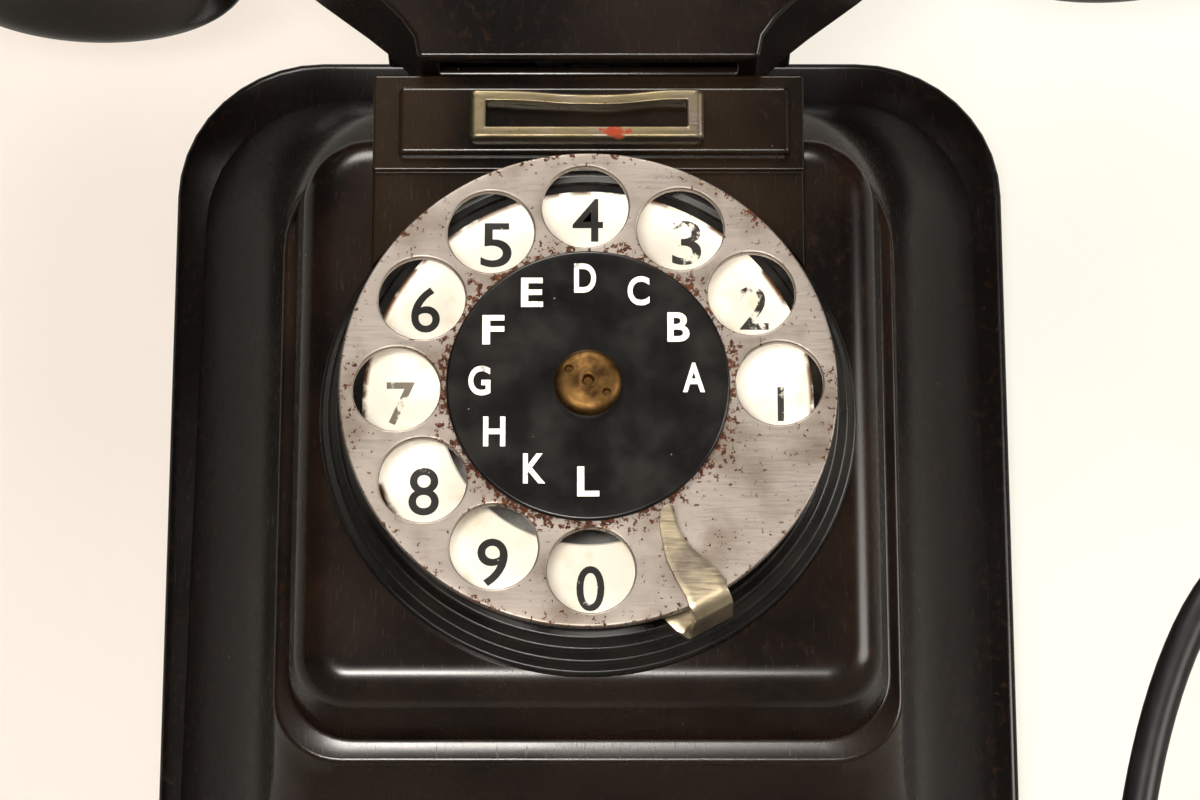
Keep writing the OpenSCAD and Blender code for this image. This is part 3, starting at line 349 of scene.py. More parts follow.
wheel_nickel = worn_nickel("nickel_wheel", "a39a92", 0.155, 0.42)
trim_nickel = worn_nickel("nickel_trim", "cbbc9f", 0.0, 0.3)
label_nickel = worn_nickel("nickel_label", "7d7258", 0.08, 0.36, smear=(0.004, 0.0, dial_up * MM + 0.0464))

# %% [markdown]
# The ring under the finger wheel is steel with stoved cream enamel. It is smooth and half glossy, yellowed
# where dirt has gathered along its outer edge, with brown smears and a few dark pits.

# %% Cream stove enamel
def cream_enamel():
    material, tree, place = open_material("stove_enamel")
    radius = from_dial_axis(tree, place)
    smear = noise(tree, place, 5.0, detail=4.0, rough=0.6)
    edge = calc(tree, "MULTIPLY", mask(tree, radius, 0.0341, 0.0349), mask(tree, smear, 0.38, 0.55))
    yellowed = blend_colours(tree, mask(tree, smear, 0.5, 0.85), linear("f7f0e2"), linear("e3d6b8"))
    dirty = blend_colours(tree, edge, yellowed, linear("54361c"))
    pits = specks(tree, place, 2.4, 0.3)
    pitted = blend_colours(tree, pits, dirty, linear("3a3028"))
    close_material(tree, Base_Color=pitted, Roughness=0.32, IOR=1.5, Normal=bump(tree, smear, 0.03, 0.3))
    return material


enamel = cream_enamel()

# %% [markdown]
# The disc in the middle and the dial's case are black lacquer over metal. The lacquer lies in an even coat
# and has aged to a half gloss, with rubbed patches, pinholes and pale dust.

# %% Black lacquer
def black_lacquer():
    material, tree, place = open_material("black_lacquer")
    rubbed = noise(tree, place, 6.0, detail=4.0)
    orange_peel = noise(tree, place, 0.8, detail=2.0)
    black = blend_colours(tree, mask(tree, rubbed, 0.45, 0.75), linear("0a0807"), linear("14100c"))
    dust = specks(tree, place, 2.6, 0.32)
    dusty = blend_colours(tree, dust, black, linear("6c6558"))
    close_material(tree, Base_Color=dusty, Roughness=remap(tree, rubbed, 0.24, 0.36), IOR=1.45,
                   Normal=bump(tree, orange_peel, 0.004, 0.3))
    return material


lacquer = black_lacquer()

# %% [markdown]
# The figures and letters are printed paint. Some figures are nearly rubbed away, so the worn paint lets the
# ground show through where a cloudy pattern is high. Both paints share one recipe: ink, ground and wear.

# %% Printed paint
def printed_paint(name, ink, ground, wear):
    material, tree, place = open_material(name)
    cloud = noise(tree, place, 2.2, detail=5.0, rough=0.6)
    gone = mask(tree, cloud, 0.68 - wear * 0.4, 0.78 - wear * 0.4)
    close_material(tree, Base_Color=blend_colours(tree, gone, linear(ink), linear(ground)), Roughness=0.45,
                   IOR=1.48, Normal=bump(tree, cloud, 0.02, 0.4))
    return material


figure_paint = printed_paint("figure_paint", "15130f", "efe7d8", 0.1)
worn_figure_paint = printed_paint("figure_paint_worn", "2a2620", "efe7d8", 0.42)
faint_figure_paint = printed_paint("figure_paint_faint", "6f675a", "efe7d8", 0.5)
letter_paint = printed_paint("letter_paint", "efece2", "8d8a80", 0.12)

# %% [markdown]
# Inside the case the metals are plainer. Brass has gone dull brown, and zinc-plated or blued steel is grey
# with a cloudy bloom. Each metal is a colour, a second colour for its tarnish and a grain, so one recipe
# makes them all. Drawn and milled stock shows lines along it, which the stretched noise gives.

# %% Plain metals
def plain_metal(name, colour, tarnish, rough, grain):
    material, tree, place = open_material(name)
    bloom = noise(tree, place, 4.0, detail=4.0, rough=0.6)
    drawn = noise(tree, stretch(tree, place, 1.0, 0.12, 1.0), grain, detail=2.0)
    coloured = blend_colours(tree, mask(tree, bloom, 0.4, 0.72), linear(colour), linear(tarnish))
    close_material(tree, Base_Color=coloured, Metallic=1.0, Roughness=remap(tree, bloom, rough, rough + 0.2),
                   Normal=bump(tree, drawn, 0.02, 0.35))
    return material


hub_brass = plain_metal("brass_tarnished", "6e522f", "2e1e10", 0.4, 0.4)
brass = plain_metal("brass_turned", "c09a55", "7b5c30", 0.28, 0.3)
steel = plain_metal("steel_zinc_plated", "a8a8a4", "76756f", 0.36, 0.35)
spring_steel = plain_metal("spring_steel_blued", "5c6068", "33343a", 0.3, 0.2)
magnet_steel = plain_metal("magnet_steel_ground", "74737a", "4a4749", 0.45, 0.5)
tinned = plain_metal("tinned_sheet", "b5b4ae", "8b8a84", 0.3, 0.6)

# %% [markdown]
# The coils are enamelled copper wire in a layer of varnished cotton, so their surface is a row of fine
# turns. A wave pattern across the coil draws them, one turn to 0.4 mm, which is coarser than the real wire
# so that it shows. Fibre is laminated paper and resin, matt and faintly layered.

# %% Windings, fibre and rubber
def winding(name, wire, cotton):
    material, tree, place = open_material(name)
    turns = add(tree, "TexWave", {"Vector": place, "Scale": per_mm(0.4) / 20, "Distortion": 0.4},
                wave_type="BANDS", bands_direction="Z").outputs["Fac"]
    stain = noise(tree, place, 3.0)
    thread = blend_colours(tree, turns, linear(cotton), linear(wire))
    stained = blend_colours(tree, mask(tree, stain, 0.5, 0.8), thread, linear("3a2015"))
    close_material(tree, Base_Color=stained, Roughness=0.5, IOR=1.5, Normal=bump(tree, turns, 0.12, 0.8))
    return material


def matt_plastic(name, colour, second, rough, size):
    material, tree, place = open_material(name)
    layers = noise(tree, stretch(tree, place, 1.0, 6.0, 1.0), size, detail=3.0)
    coloured = blend_colours(tree, mask(tree, layers, 0.4, 0.7), linear(colour), linear(second))
    close_material(tree, Base_Color=coloured, Roughness=rough, IOR=1.52, Normal=bump(tree, layers, 0.03, 0.5))
    return material


copper_winding = winding("copper_winding_varnished", "a4552f", "6b2f1b")
fibre = matt_plastic("fibre_laminated_paper", "4a2b1a", "33190f", 0.55, 2.0)
bushing_rubber = matt_plastic("rubber_bushing", "101011", "1d1c1b", 0.5, 1.2)
cord_rubber = matt_plastic("rubber_cord_smooth", "0d0d0e", "191817", 0.38, 3.0)

# %% [markdown]
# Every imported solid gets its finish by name, also the ones that a smoother piece replaces below. The works
# inside keep their solid shape, which is exact already, so a finish is all that they need.

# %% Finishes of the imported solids
node_finishes = {
    lacquer: ["letter_disc", "dial_case", "cradle_guide"],
    steel: ["back_plate", "cover_screws", "case_screws", "dial_frame", "dial_screws", "main_shaft",
            "idler_shaft", "governor_shaft", "ringer_frame", "gong_screws", "ringer_armature",
            "hook_switch_bracket", "hook_pivot_pin", "cradle_stem", "cradle_screws", "condenser_strap"],
    spring_steel: ["mainspring", "hook_spring"],
    brass: ["pulse_contacts", "governor_cup", "main_gear", "second_gear", "governor_weights",
            "gong_left", "gong_right", "clapper", "terminal_screws", "hook_contacts", "hook_lever",
            "transmitter_capsule"],
    tinned: ["condenser", "receiver_capsule"],
    copper_winding: ["ringer_coils", "induction_coil"],
    magnet_steel: ["ringer_magnet"],
    fibre: ["terminal_block", "pulse_cam"],
    case_resin: ["housing"],
    handset_resin: ["cradle", "handset_handle", "ear_cap", "mouthpiece_cap"],
    wheel_nickel: ["finger_wheel"],
    trim_nickel: ["finger_stop"],
    label_nickel: ["label_frame"],
    enamel: ["number_plate"],
    hub_brass: ["dial_hub"],
    bushing_rubber: ["cord_bushing", "handset_cord_bushing", "handset_cord"],
}
for material, nodes in node_finishes.items():
    for node in nodes:
        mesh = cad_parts[node].data
        mesh.materials.clear()
        mesh.materials.append(material)
print("finishes given to", sum(len(nodes) for nodes in node_finishes.values()), "nodes")

# %% [markdown]
# The handset's cord is a smooth black rubber lead, 5.5 mm thick. It leaves the case at the bottom, hangs in a
# slack loop and rises to the nose of the mouth end. The points are those of the solid cord, and a smooth
# curve runs through them. The curve becomes a mesh tube.

# %% Cord
CORD_DIAMETER = 5.5
cord_route = [Vector(point) * MM for point in [
    (25, -26, -58), (25, -26, -88), (25, -26, -130), (28, -29, -180), (38, -35, -222), (56, -40, -238),
    (76, -44, -222), (87, -47, -180), (88, -50, -130), (85, -52, -82), (86, -54, -51), (96.5, -56, -19),
    (118, -56, 6), (138, -55, 34), (144, -54, 68), (138, -54, 96), (132, -54, 108), (126.5, -54, 112),
    (121.5, -54, 112.5)]]


def smooth_route(points, steps):
    """Points of a Catmull-Rom curve through the route, as the solid cord has."""
    path = []
    for i in range(len(points) - 1):
        a, b, c, d = (points[k] for k in (max(i - 1, 0), i, i + 1, min(i + 2, len(points) - 1)))
        for t in (k / steps for k in range(steps)):
            path.append((2 * b + (c - a) * t + (2 * a - 5 * b + 4 * c - d) * t * t
                         + (3 * b - a - 3 * c + d) * t ** 3) / 2)
    return path + [points[-1]]


cord_path = smooth_route(cord_route, 10)
route = bpy.data.curves.new("cord_route", "CURVE")
route.dimensions = "3D"
route.bevel_depth = CORD_DIAMETER / 2 * MM
route.bevel_resolution = 5
route.use_fill_caps = True
line = route.splines.new("POLY")
line.points.add(len(cord_path) - 1)
for point, place in zip(line.points, cord_path):
    point.co = (*place, 1)
drawn = put_in_scene("cord_route", route)
bpy.context.view_layer.update()

bm = bmesh.new()
bm.from_mesh(bpy.data.meshes.new_from_object(drawn))
bpy.data.objects.remove(drawn)
bmesh.ops.remove_doubles(bm, verts=bm.verts, dist=0.00001)
bmesh.ops.recalc_face_normals(bm, faces=bm.faces)
cord_mesh = mesh_from(bm, "cord")
cord_mesh.polygons.foreach_set("use_smooth", [True] * len(cord_mesh.polygons))
cord_mesh.materials.append(cord_rubber)
cord = put_in_scene("cord", cord_mesh)
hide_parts("handset_cord")

# %% [markdown]
# The cord's rubber sleeves stop it from kinking. Each is a turned shape with a few grooves, so one profile
# is spun for each. The lower one hangs from the case, and the upper one sits in the handset's nose.

# %% Sleeves of the cord
def sleeve(name, node, matrix, low, high, wide, narrow, grooves, body):
    """A tapered sleeve with grooves, along its own z axis from the narrow end (low) to the wide one."""
    hole = CORD_DIAMETER / 2 + 0.1
    outside = [(hole, low), (narrow - 0.4, low), (narrow, low + 0.4)]
    for start in grooves:
        share = (start - low) / (high - low)
        radius = narrow + (wide - narrow) * min(1, share * 1.4)
        outside += [(radius, start), (radius - 0.5, start + 0.3), (radius - 0.5, start + 0.9),
                    (radius, start + 1.2)]
    bm = bmesh.new()
    spin_profile(bm, outside + [(wide, high), (hole, high)], steps=48, closed=True)
    piece = finish(bm, name, matrix, bushing_rubber, body, node, angle=40)
    return piece


low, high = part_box("cord_bushing")
outlet = Matrix.Translation(((low.x + high.x) / 2, (low.y + high.y) / 2, 0)) @ upright
sleeve("cord_sleeve_case", "cord_bushing", outlet, low.z / MM, high.z / MM, 4.5, 3.6,
       [low.z / MM + d for d in (2.2, 4.6, 7.0)], "body")
low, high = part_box("handset_cord_bushing")
nose = (Matrix.Translation((0, (low.y + high.y) / 2, (low.z + high.z) / 2))
        @ Matrix.Rotation(-pi / 2, 4, "Y") @ upright)
sleeve("cord_sleeve_handset", "handset_cord_bushing", nose, -high.x / MM, -low.x / MM, 4.5, 3.7,
       [-high.x / MM + d for d in (1.6, 3.6)], "handset")

# %% [markdown]
# The case is one moulding. Its foot lies on the wall, and a skirt sweeps up from it to a narrow ledge,
# faster near the wall than near the ledge. On the ledge stands a block with a soft edge for the dial. Every
# cross-section is a rounded outline, so the shell is drawn as a stack of outlines and bridged. An outline
# starts as one square face, whose corners are moved and then rounded by a vertex bevel.

# %% Helper for an outline of the case
def outline(bm, half_top, half_bottom, top, bottom, top_round, bottom_round, out):
    bmesh.ops.create_grid(bm, x_segments=1, y_segments=1, size=1)
    face = next(iter(bm.faces))
    upper, lower = [v for v in face.verts if v.co.y > 0], [v for v in face.verts if v.co.y < 0]
    for vert in upper + lower:
        half = half_top if vert in upper else half_bottom
        vert.co = Vector((half if vert.co.x > 0 else -half, top if vert in upper else bottom, out))
    for corners, radius in ((upper, top_round), (lower, bottom_round)):
        bmesh.ops.bevel(bm, geom=corners, offset=radius, segments=10, profile=0.5, affect="VERTICES",
                        material=-1)
    face = next(iter(bm.faces))
    edges = list(face.edges)
    bmesh.ops.delete(bm, geom=[face], context="FACES_ONLY")
    return edges


# %% Sizes of the case
foot = reach("housing")
FOOT_X, FOOT_Y = foot.x / 2, foot.z / 2
FOOT_OUT, FOOT_EDGE = 8.0, 1.5
LEDGE_X, LEDGE_OUT, LEDGE_BOTTOM = 50.0, 52.0, -42.5
BLOCK_X, BLOCK_OUT, BLOCK_ROUND = 46.0, 70.0, 6.0
BLOCK_TOP, BLOCK_BOTTOM = dial_up + 49, dial_up - 46
SKIRT_X, SKIRT_TOP, SKIRT_BOTTOM = FOOT_X - 5.5, FOOT_Y - 7.5, -FOOT_Y + 4.5
SHOULDER = dial_up + 71
print("foot", [round(2 * side, 1) for side in (FOOT_X, FOOT_Y)], "mm")


def foot_outline(bm, inside, out):
    return outline(bm, FOOT_X - inside, FOOT_X - inside, FOOT_Y - inside, inside - FOOT_Y, 25 - inside,
                   23 - inside, out)


def skirt_outline(bm, s):
    """One outline of the skirt, from the foot (0) to the ledge (1)."""
    half = LEDGE_X + (SKIRT_X - LEDGE_X) * (1 - s) ** 3
    top = BLOCK_TOP + 4 + (SHOULDER - BLOCK_TOP - 4) * (1 - s ** 3) + (SKIRT_TOP - SHOULDER) * (1 - s) ** 6
    bottom = LEDGE_BOTTOM + (SKIRT_BOTTOM - LEDGE_BOTTOM) * (0.8 * (1 - s) + 0.2 * (1 - s) ** 6)
    out = FOOT_OUT + (LEDGE_OUT - 1 - FOOT_OUT) * s
    return outline(bm, half, half + 2.5 * (1 - s), top, bottom, 23 - 5 * s, 20 - 9 * s, out)


def block_outline(bm, inside, out):
    return outline(bm, BLOCK_X - inside, BLOCK_X - inside, BLOCK_TOP - inside, BLOCK_BOTTOM + inside,
                   11 - inside, 9 - inside, out)


# %% Shell of the case
DIAL_HOLE = 36.8
bm = bmesh.new()
rings = [foot_outline(bm, 0, 0), foot_outline(bm, 0, FOOT_OUT - FOOT_EDGE)]
rings += [foot_outline(bm, FOOT_EDGE * (1 - cos(radians(a))), FOOT_OUT - FOOT_EDGE * (1 - sin(radians(a))))
          for a in (22, 45, 68, 90)]
rings += [skirt_outline(bm, (i / 24) ** 1.4) for i in range(25)]
rings += [outline(bm, LEDGE_X - inside, LEDGE_X - inside, BLOCK_TOP + 4 - inside, LEDGE_BOTTOM + inside,
                  18 - inside, 11 - inside, LEDGE_OUT - 1 + rise)
          for inside, rise in ((0.08, 0.4), (0.3, 0.75), (0.65, 0.95), (1.0, 1.0))]
rings += [block_outline(bm, inside, LEDGE_OUT + rise)
          for inside, rise in ((-2.1, 0.0), (-1.6, 0.25), (-1.4, 0.9))]
rings += [block_outline(bm, -1, LEDGE_OUT + 8)]
rings += [block_outline(bm, BLOCK_ROUND * (1 - cos(radians(a))),
                        BLOCK_OUT - BLOCK_ROUND * (1 - sin(radians(a)))) for a in range(0, 91, 10)]
bridge_all(bm, rings)
hole = bmesh.ops.create_circle(bm, segments=len(rings[-1]), radius=DIAL_HOLE,
                               matrix=Matrix.Translation((0, dial_up, BLOCK_OUT)))["verts"]
bmesh.ops.bridge_loops(bm, edges=rings[-1] + edges_of(hole))
case = finish(bm, "case", on_wall, case_resin, "body", "housing", angle=30)
WALL_T = 3.4
wall = case.modifiers.new("wall", "SOLIDIFY")
wall.thickness = WALL_T * MM
wall.offset = -1

# %% [markdown]
# Behind the label the case runs up into a flat neck, which closes it under the cradle. It is a slab with
# sharp edges, and its upper part stands a little further out. A raised pad carries the label frame. Round
# the dial the slab is cut back to the block's front, and a Boolean modifier makes that round cut. The slab
# is hollow, and the case is open under it: the stem of the cradle and the lever of the hook switch move in
# there.

# %% Helper for a block with rounded edges
def rounded_block(bm, low, high, radius, segments=3, keep=None):
    """A box between two corners. `keep` picks the edges that are rounded, by their two end points."""
    low, high = Vector(low), Vector(high)
    corners = bmesh.ops.create_cube(bm, size=1.0, matrix=Matrix.Translation((low + high) / 2)
                                    @ Matrix.Diagonal((*(high - low), 1)))["verts"]
    edges = {edge for vert in corners for edge in vert.link_edges}
    chosen = [edge for edge in edges if keep is None or keep(*(vert.co for vert in edge.verts))]
    return bmesh.ops.bevel(bm, geom=chosen, offset=radius, segments=segments, profile=0.5, affect="EDGES",
                           material=-1)


def cut_by(piece, cutter, name):
    """Cuts a shape out of a piece for good, and removes the cutter. The piece may be overlapping shapes."""
    modifier = piece.modifiers.new(name, "BOOLEAN")
    modifier.use_self = True
    modifier.object = cutter
    modifier.operation = "DIFFERENCE"
    modifier.solver = "EXACT"
    bpy.context.view_layer.update()
    done = bpy.data.meshes.new_from_object(piece.evaluated_get(bpy.context.evaluated_depsgraph_get()))
    piece.modifiers.remove(modifier)
    piece.data = done
    bpy.data.objects.remove(cutter)
    print(piece.name, "has", len(done.polygons), "faces after the cut", name)


def keep_flat(piece):
    """Lets the large faces of a moulding shade flat, and only its rounded edges shade round."""
    modifier = piece.modifiers.new("flat_faces", "WEIGHTED_NORMAL")
    modifier.keep_sharp = True
    modifier.weight = 100


def cutter_from(bm, matrix):
    bmesh.ops.recalc_face_normals(bm, faces=bm.faces)
    bmesh.ops.transform(bm, matrix=matrix, verts=bm.verts)
    return put_in_scene("cutter", mesh_from(bm, "cutter"))


# %% Neck and label pad
NECK_X, NECK_TOP, NECK_OUT = 34.5, dial_up + 57.5, BLOCK_OUT + 2
NECK_FOLD, NECK_BACK = dial_up + 41, 38.0
bm = bmesh.new()
rounded_block(bm, (-NECK_X, dial_up + 20, NECK_BACK), (NECK_X, NECK_TOP - 0.2, NECK_OUT - 0.8), 0.5)
rounded_block(bm, (-NECK_X - 0.05, NECK_FOLD, NECK_BACK + 0.5), (NECK_X + 0.05, NECK_TOP, NECK_OUT), 0.5)
neck = finish(bm, "case_neck", on_wall, neck_resin, "body", angle=30, weld=0)
bm = bmesh.new()
SEAT = 42.5
rod(bm, SEAT, 8, Matrix.Translation((0, 0, BLOCK_OUT + 3.99)), segments=128)
cut_by(neck, cutter_from(bm, on_dial), "dial_seat")
bm = bmesh.new()
rounded_block(bm, (-31, dial_up + 14, NECK_BACK + WALL_T), (31, NECK_TOP - WALL_T, NECK_OUT - 3.8), 1)
cut_by(neck, cutter_from(bm, on_wall), "hollow")
neck.data.set_sharp_from_angle(angle=radians(35))
keep_flat(neck)

bm = bmesh.new()
rounded_block(bm, (-12, BLOCK_TOP - 8, LEDGE_OUT - 2), (24, BLOCK_TOP + 4, LEDGE_OUT + 10), 1)
cut_by(case, cutter_from(bm, on_wall), "lever_opening")
case.modifiers.remove(wall)
case.data.set_sharp_from_angle(angle=radians(30))

PAD = Vector((62.6, 11.7))
PAD_MIDDLE = Vector((0.9, dial_up + 49.2))
PAD_OUT = NECK_OUT + 1.5
bm = bmesh.new()
rounded_block(bm, (PAD_MIDDLE.x - PAD.x / 2, PAD_MIDDLE.y - PAD.y / 2, NECK_OUT - 2),
              (PAD_MIDDLE.x + PAD.x / 2, PAD_MIDDLE.y + PAD.y / 2, PAD_OUT), 0.9, segments=4)
pad = finish(bm, "label_pad", on_wall, neck_resin, "body", angle=30)
keep_flat(pad)

# %% [markdown]
# The dial's case is a black lacquered bowl whose rim steps up in four polished beads. It is turned in one
# piece, so its section is one closed profile. Each bead is a quarter round, which catches one thin line of
# light all the way round the dial.

# %% Case of the dial
CASE_R = reach("dial_case").x / 2
FACE_OUT = BLOCK_OUT + 7
profile = [(35.5, 58.6), (36.5, 58.6), (36.5, BLOCK_OUT), (CASE_R - 0.3, BLOCK_OUT),
           (CASE_R, BLOCK_OUT + 0.3)]
for inside, top, bead in ((0.0, 1.9, 0.6), (1.3, 3.6, 0.6), (2.8, 5.3, 0.6), (4.0, 7.8, 0.5)):
    profile += arc(CASE_R - inside - bead, BLOCK_OUT + top - bead, bead, 0, 82)
profile += [(CASE_R - 5.3, FACE_OUT + 0.4), (CASE_R - 5.6, FACE_OUT)]
profile += [(22.9, FACE_OUT), (22.9, FACE_OUT - 1), (35.5, FACE_OUT - 1)]
bm = bmesh.new()
spin_profile(bm, profile, steps=160, closed=True)
dial_case = finish(bm, "dial_bowl", on_dial, lacquer, "body", "dial_case", angle=28)

# %% [markdown]
# The enamelled ring lies on the bowl's face, under the wheel's holes. It is thin sheet with a rolled edge.
# The figures are printed on it, upright, a little below each hole's middle from this side.

# %% Enamelled ring
PLATE_OUT = FACE_OUT + 1
profile = [(23.0, FACE_OUT), (23.0, PLATE_OUT - 0.3), (23.3, PLATE_OUT)]
profile += arc(34.7, PLATE_OUT - 0.5, 0.5, 90, 0) + [(35.2, FACE_OUT)]
bm = bmesh.new()
spin_profile(bm, profile, steps=128, closed=True)
number_ring = finish(bm, "number_ring", on_dial, enamel, "body", "number_plate", angle=40)


# %% Helper for printed marks
def printed(text, name, x, y, high, wide, out, material, body, bold=0.0, turn=0.0):
    """A character as thin raised paint: x, y and out are in millimetres from the dial's axis."""
    font = bpy.data.curves.new(name, "FONT")
    font.body = text
    font.offset = bold
    font.extrude = 0.02
    font.resolution_u = 6
    drawn = put_in_scene(name, font)
    bpy.context.view_layer.update()
    mesh = bpy.data.meshes.new_from_object(drawn.evaluated_get(bpy.context.evaluated_depsgraph_get()))
    bpy.data.objects.remove(drawn)
    corners = [v.co for v in mesh.vertices]
    low = Vector((min(c.x for c in corners), min(c.y for c in corners), 0))
    size = Vector((max(c.x for c in corners), max(c.y for c in corners), 0)) - low
    fit = (Matrix.Translation((x, y, out)) @ Matrix.Rotation(radians(turn), 4, "Z")
           @ Matrix.Diagonal((wide / size.x, high / size.y, 1, 1)) @ Matrix.Translation(-low - size / 2))
    bm = bmesh.new()
    bm.from_mesh(mesh)
    bpy.data.meshes.remove(mesh)
    bmesh.ops.transform(bm, matrix=fit, verts=bm.verts)
    return finish(bm, name, on_dial, material, body, angle=30)


# %% Figures
HOLES, STEP, FIRST = 10, 30.0, 0.9
FIGURE_PITCH = 30.2
# Width and height of each figure, and how far it sits to the right of its place and above it
figures = {"1": (1.0, 5.6, -0.2, -0.8), "2": (4.5, 7.2, 0.1, 0.0), "3": (4.6, 7.4, 0.8, 0.0),
           "4": (4.8, 7.2, 0.4, 0.0), "5": (4.9, 7.4, 1.0, 0.1), "6": (4.5, 7.5, 0.9, 0.5),
           "7": (4.4, 7.0, 1.0, 0.2), "8": (4.7, 7.7, 0.5, 0.9), "9": (4.7, 7.6, 0.0, 0.4),
           "0": (4.3, 7.2, -0.1, 0.0)}
worn_paints = {"1": worn_figure_paint, "2": worn_figure_paint, "3": worn_figure_paint,
               "7": faint_figure_paint}
for i, (figure, (wide, high, right, up)) in enumerate(figures.items()):
    angle = radians(FIRST + STEP * i)
    printed(figure, "figure_" + figure, FIGURE_PITCH * cos(angle) + right, FIGURE_PITCH * sin(angle) + up,
            wide=wide, high=high, out=PLATE_OUT + 0.03, material=worn_paints.get(figure, figure_paint),
            body="body", bold=0.008)

# %% [markdown]
# The finger wheel is a sheet of nickel-plated steel with ten holes. The edges of the holes and the rim are
# only broken a little, so each shows one thin bright line. The flat faces are filled between circles, and
# each pair of circles, from the front face over the edge to the back face, is bridged.

# %% Finger wheel
WHEEL_R = reach("finger_wheel").x / 2
WHEEL_FRONT, WHEEL_T = wheel_front, 1.5
HOLE_R, HOLE_PITCH = 6.75, 29.5


def circle_at(bm, x, y, out, radius, segments):
    verts = bmesh.ops.create_circle(bm, segments=segments, radius=radius,
                                    matrix=Matrix.Translation((x, y, out)))["verts"]
    return edges_of(verts)


def broken_edge(bm, x, y, radius, side, segments):
    """Circles over a rounded edge, from front to back. `side` is 1 for a hole and -1 for the rim."""
    section = [(0.42, 0.0), (0.25, -0.02), (0.1, -0.1), (0.02, -0.25), (0.0, -0.42), (0.0, -1.2),
               (0.1, -1.4), (0.3, -WHEEL_T)]
    loops = [circle_at(bm, x, y, WHEEL_FRONT + rise, radius + side * away, segments)
             for away, rise in section]
    bridge_all(bm, loops)
    return loops[0], loops[-1]


bm = bmesh.new()
ends = [broken_edge(bm, 0, 0, WHEEL_R, -1, 192)]
for i in range(HOLES):
    angle = radians(FIRST + STEP * i)
    ends.append(broken_edge(bm, HOLE_PITCH * cos(angle), HOLE_PITCH * sin(angle), HOLE_R, 1, 56))
for face_loops in zip(*ends):
    bmesh.ops.triangle_fill(bm, use_beauty=True, use_dissolve=False,
                            edges=[edge for loop in face_loops for edge in loop])
finger_wheel = finish(bm, "wheel", on_dial, wheel_nickel, "dial", "finger_wheel", angle=35)

# %% [markdown]
# The letter disc is thin sheet with black lacquer, a little dished at its edge, and its letters are
# off-white print. One place between the letters stays bare. The hub is a turned brass nut, tarnished
# brown, with a hole in its middle and two pin holes for the key that turns it.

# %% Letter disc and letters
DISC_R = reach("letter_disc").x / 2
profile = [(0.0, WHEEL_FRONT + 0.1), (DISC_R - 0.1, WHEEL_FRONT + 0.1)]
profile += arc(DISC_R - 0.5, WHEEL_FRONT + 0.45, 0.5, -20, 90) + [(DISC_R - 1.6, WHEEL_FRONT + 0.9),
                                                                  (0.0, WHEEL_FRONT + 1.0)]
bm = bmesh.new()
spin_profile(bm, profile, steps=128)
letter_disc = finish(bm, "letter_plate", on_dial, lacquer, "dial", "letter_disc", angle=30)

LETTER_PITCH = 16.5
for i, letter in enumerate("ABCDEFGHKL"):
    angle = radians(FIRST + STEP * i)
    printed(letter, "letter_" + letter, LETTER_PITCH * cos(angle) - 0.2, LETTER_PITCH * sin(angle) + 0.75,
            wide=3.4, high=4.8, out=WHEEL_FRONT + 1.02, material=letter_paint, body="dial", bold=0.024)

# %% Hub
HUB_R = 5.2
hub_out = WHEEL_FRONT + 1
profile = [(0.0, hub_out + 0.9), (0.7, hub_out + 0.9), (0.8, hub_out + 1.9), (1.0, hub_out + 2.1),
           (1.5, hub_out + 2.1), (1.75, hub_out + 1.85), (3.6, hub_out + 1.8), (4.5, hub_out + 1.6),
           (HUB_R, hub_out + 1.0), (HUB_R, hub_out)]
bm = bmesh.new()
spin_profile(bm, profile + [(0.0, hub_out)], steps=72)
hub = finish(bm, "hub", on_dial, hub_brass, "dial", "dial_hub", angle=50)
bm = bmesh.new()
for x, y in ((-2.9, 1.9), (2.9, -1.9)):
    rod(bm, 0.68, 4, Matrix.Translation((x, y, hub_out + 2.4)), segments=24)
cut_by(hub, cutter_from(bm, on_dial), "pin_holes")

# %% [markdown]
# The finger stop is a strip of nickel silver. A flange under the wheel's rim is screwed to the bowl. From
# it a short leg rises beside the rim and folds over it into a blade, which narrows to a curved point above
# the holes. A grid is laid along that path, and each row is moved to its place and width. It gets its
# thickness and its rounded edges from modifiers.

# %% Finger stop
STOP_T = 1.3
STOP_OUT = WHEEL_FRONT + 3.6 - STOP_T / 2
STOP_LEG, FLANGE_OUT = 40.65, FACE_OUT + 0.92 + STOP_T / 2
stop_turn = Matrix.Rotation(radians(-61), 4, "Z")
# Rows of (radius, height, right edge, left edge), from the flange over the leg to the point
stop_rows = [(35.6, FLANGE_OUT, 2.5, -7.0), (37.5, FLANGE_OUT, 2.5, -6.7), (39.2, FLANGE_OUT, 2.5, -6.2)]
stop_rows += [(r, out, 2.5, -5.6 + 0.2 * i) for i, (r, out) in
              enumerate(arc(STOP_LEG - 0.9, FLANGE_OUT + 0.9, 0.9, -72, 0, 4))]
stop_rows += [(STOP_LEG, FLANGE_OUT + 3.0, 2.4, -4.3), (STOP_LEG, STOP_OUT - 3.4, 2.3, -4.1)]
stop_rows += [(r, out, 2.3, -4.1) for r, out in arc(STOP_LEG - 1.9, STOP_OUT - 1.9, 1.9, 0, 90, 6)]
stop_rows += [(37.3, STOP_OUT, 2.5, -3.8), (35.8, STOP_OUT, 2.3, -3.85), (34.4, STOP_OUT, 1.75, -3.85),
              (33.0, STOP_OUT, 1.2, -3.75), (31.2, STOP_OUT, 0.65, -3.6), (29.8, STOP_OUT, 0.45, -3.25),
              (28.5, STOP_OUT, 0.4, -2.8), (27.3, STOP_OUT, 0.5, -2.4), (26.2, STOP_OUT, 0.7, -2.0),
              (25.2, STOP_OUT, 0.95, -1.5), (24.3, STOP_OUT, 1.2, -0.9), (23.7, STOP_OUT, 1.15, -0.15),
              (23.5, STOP_OUT, 0.9, 0.35)]

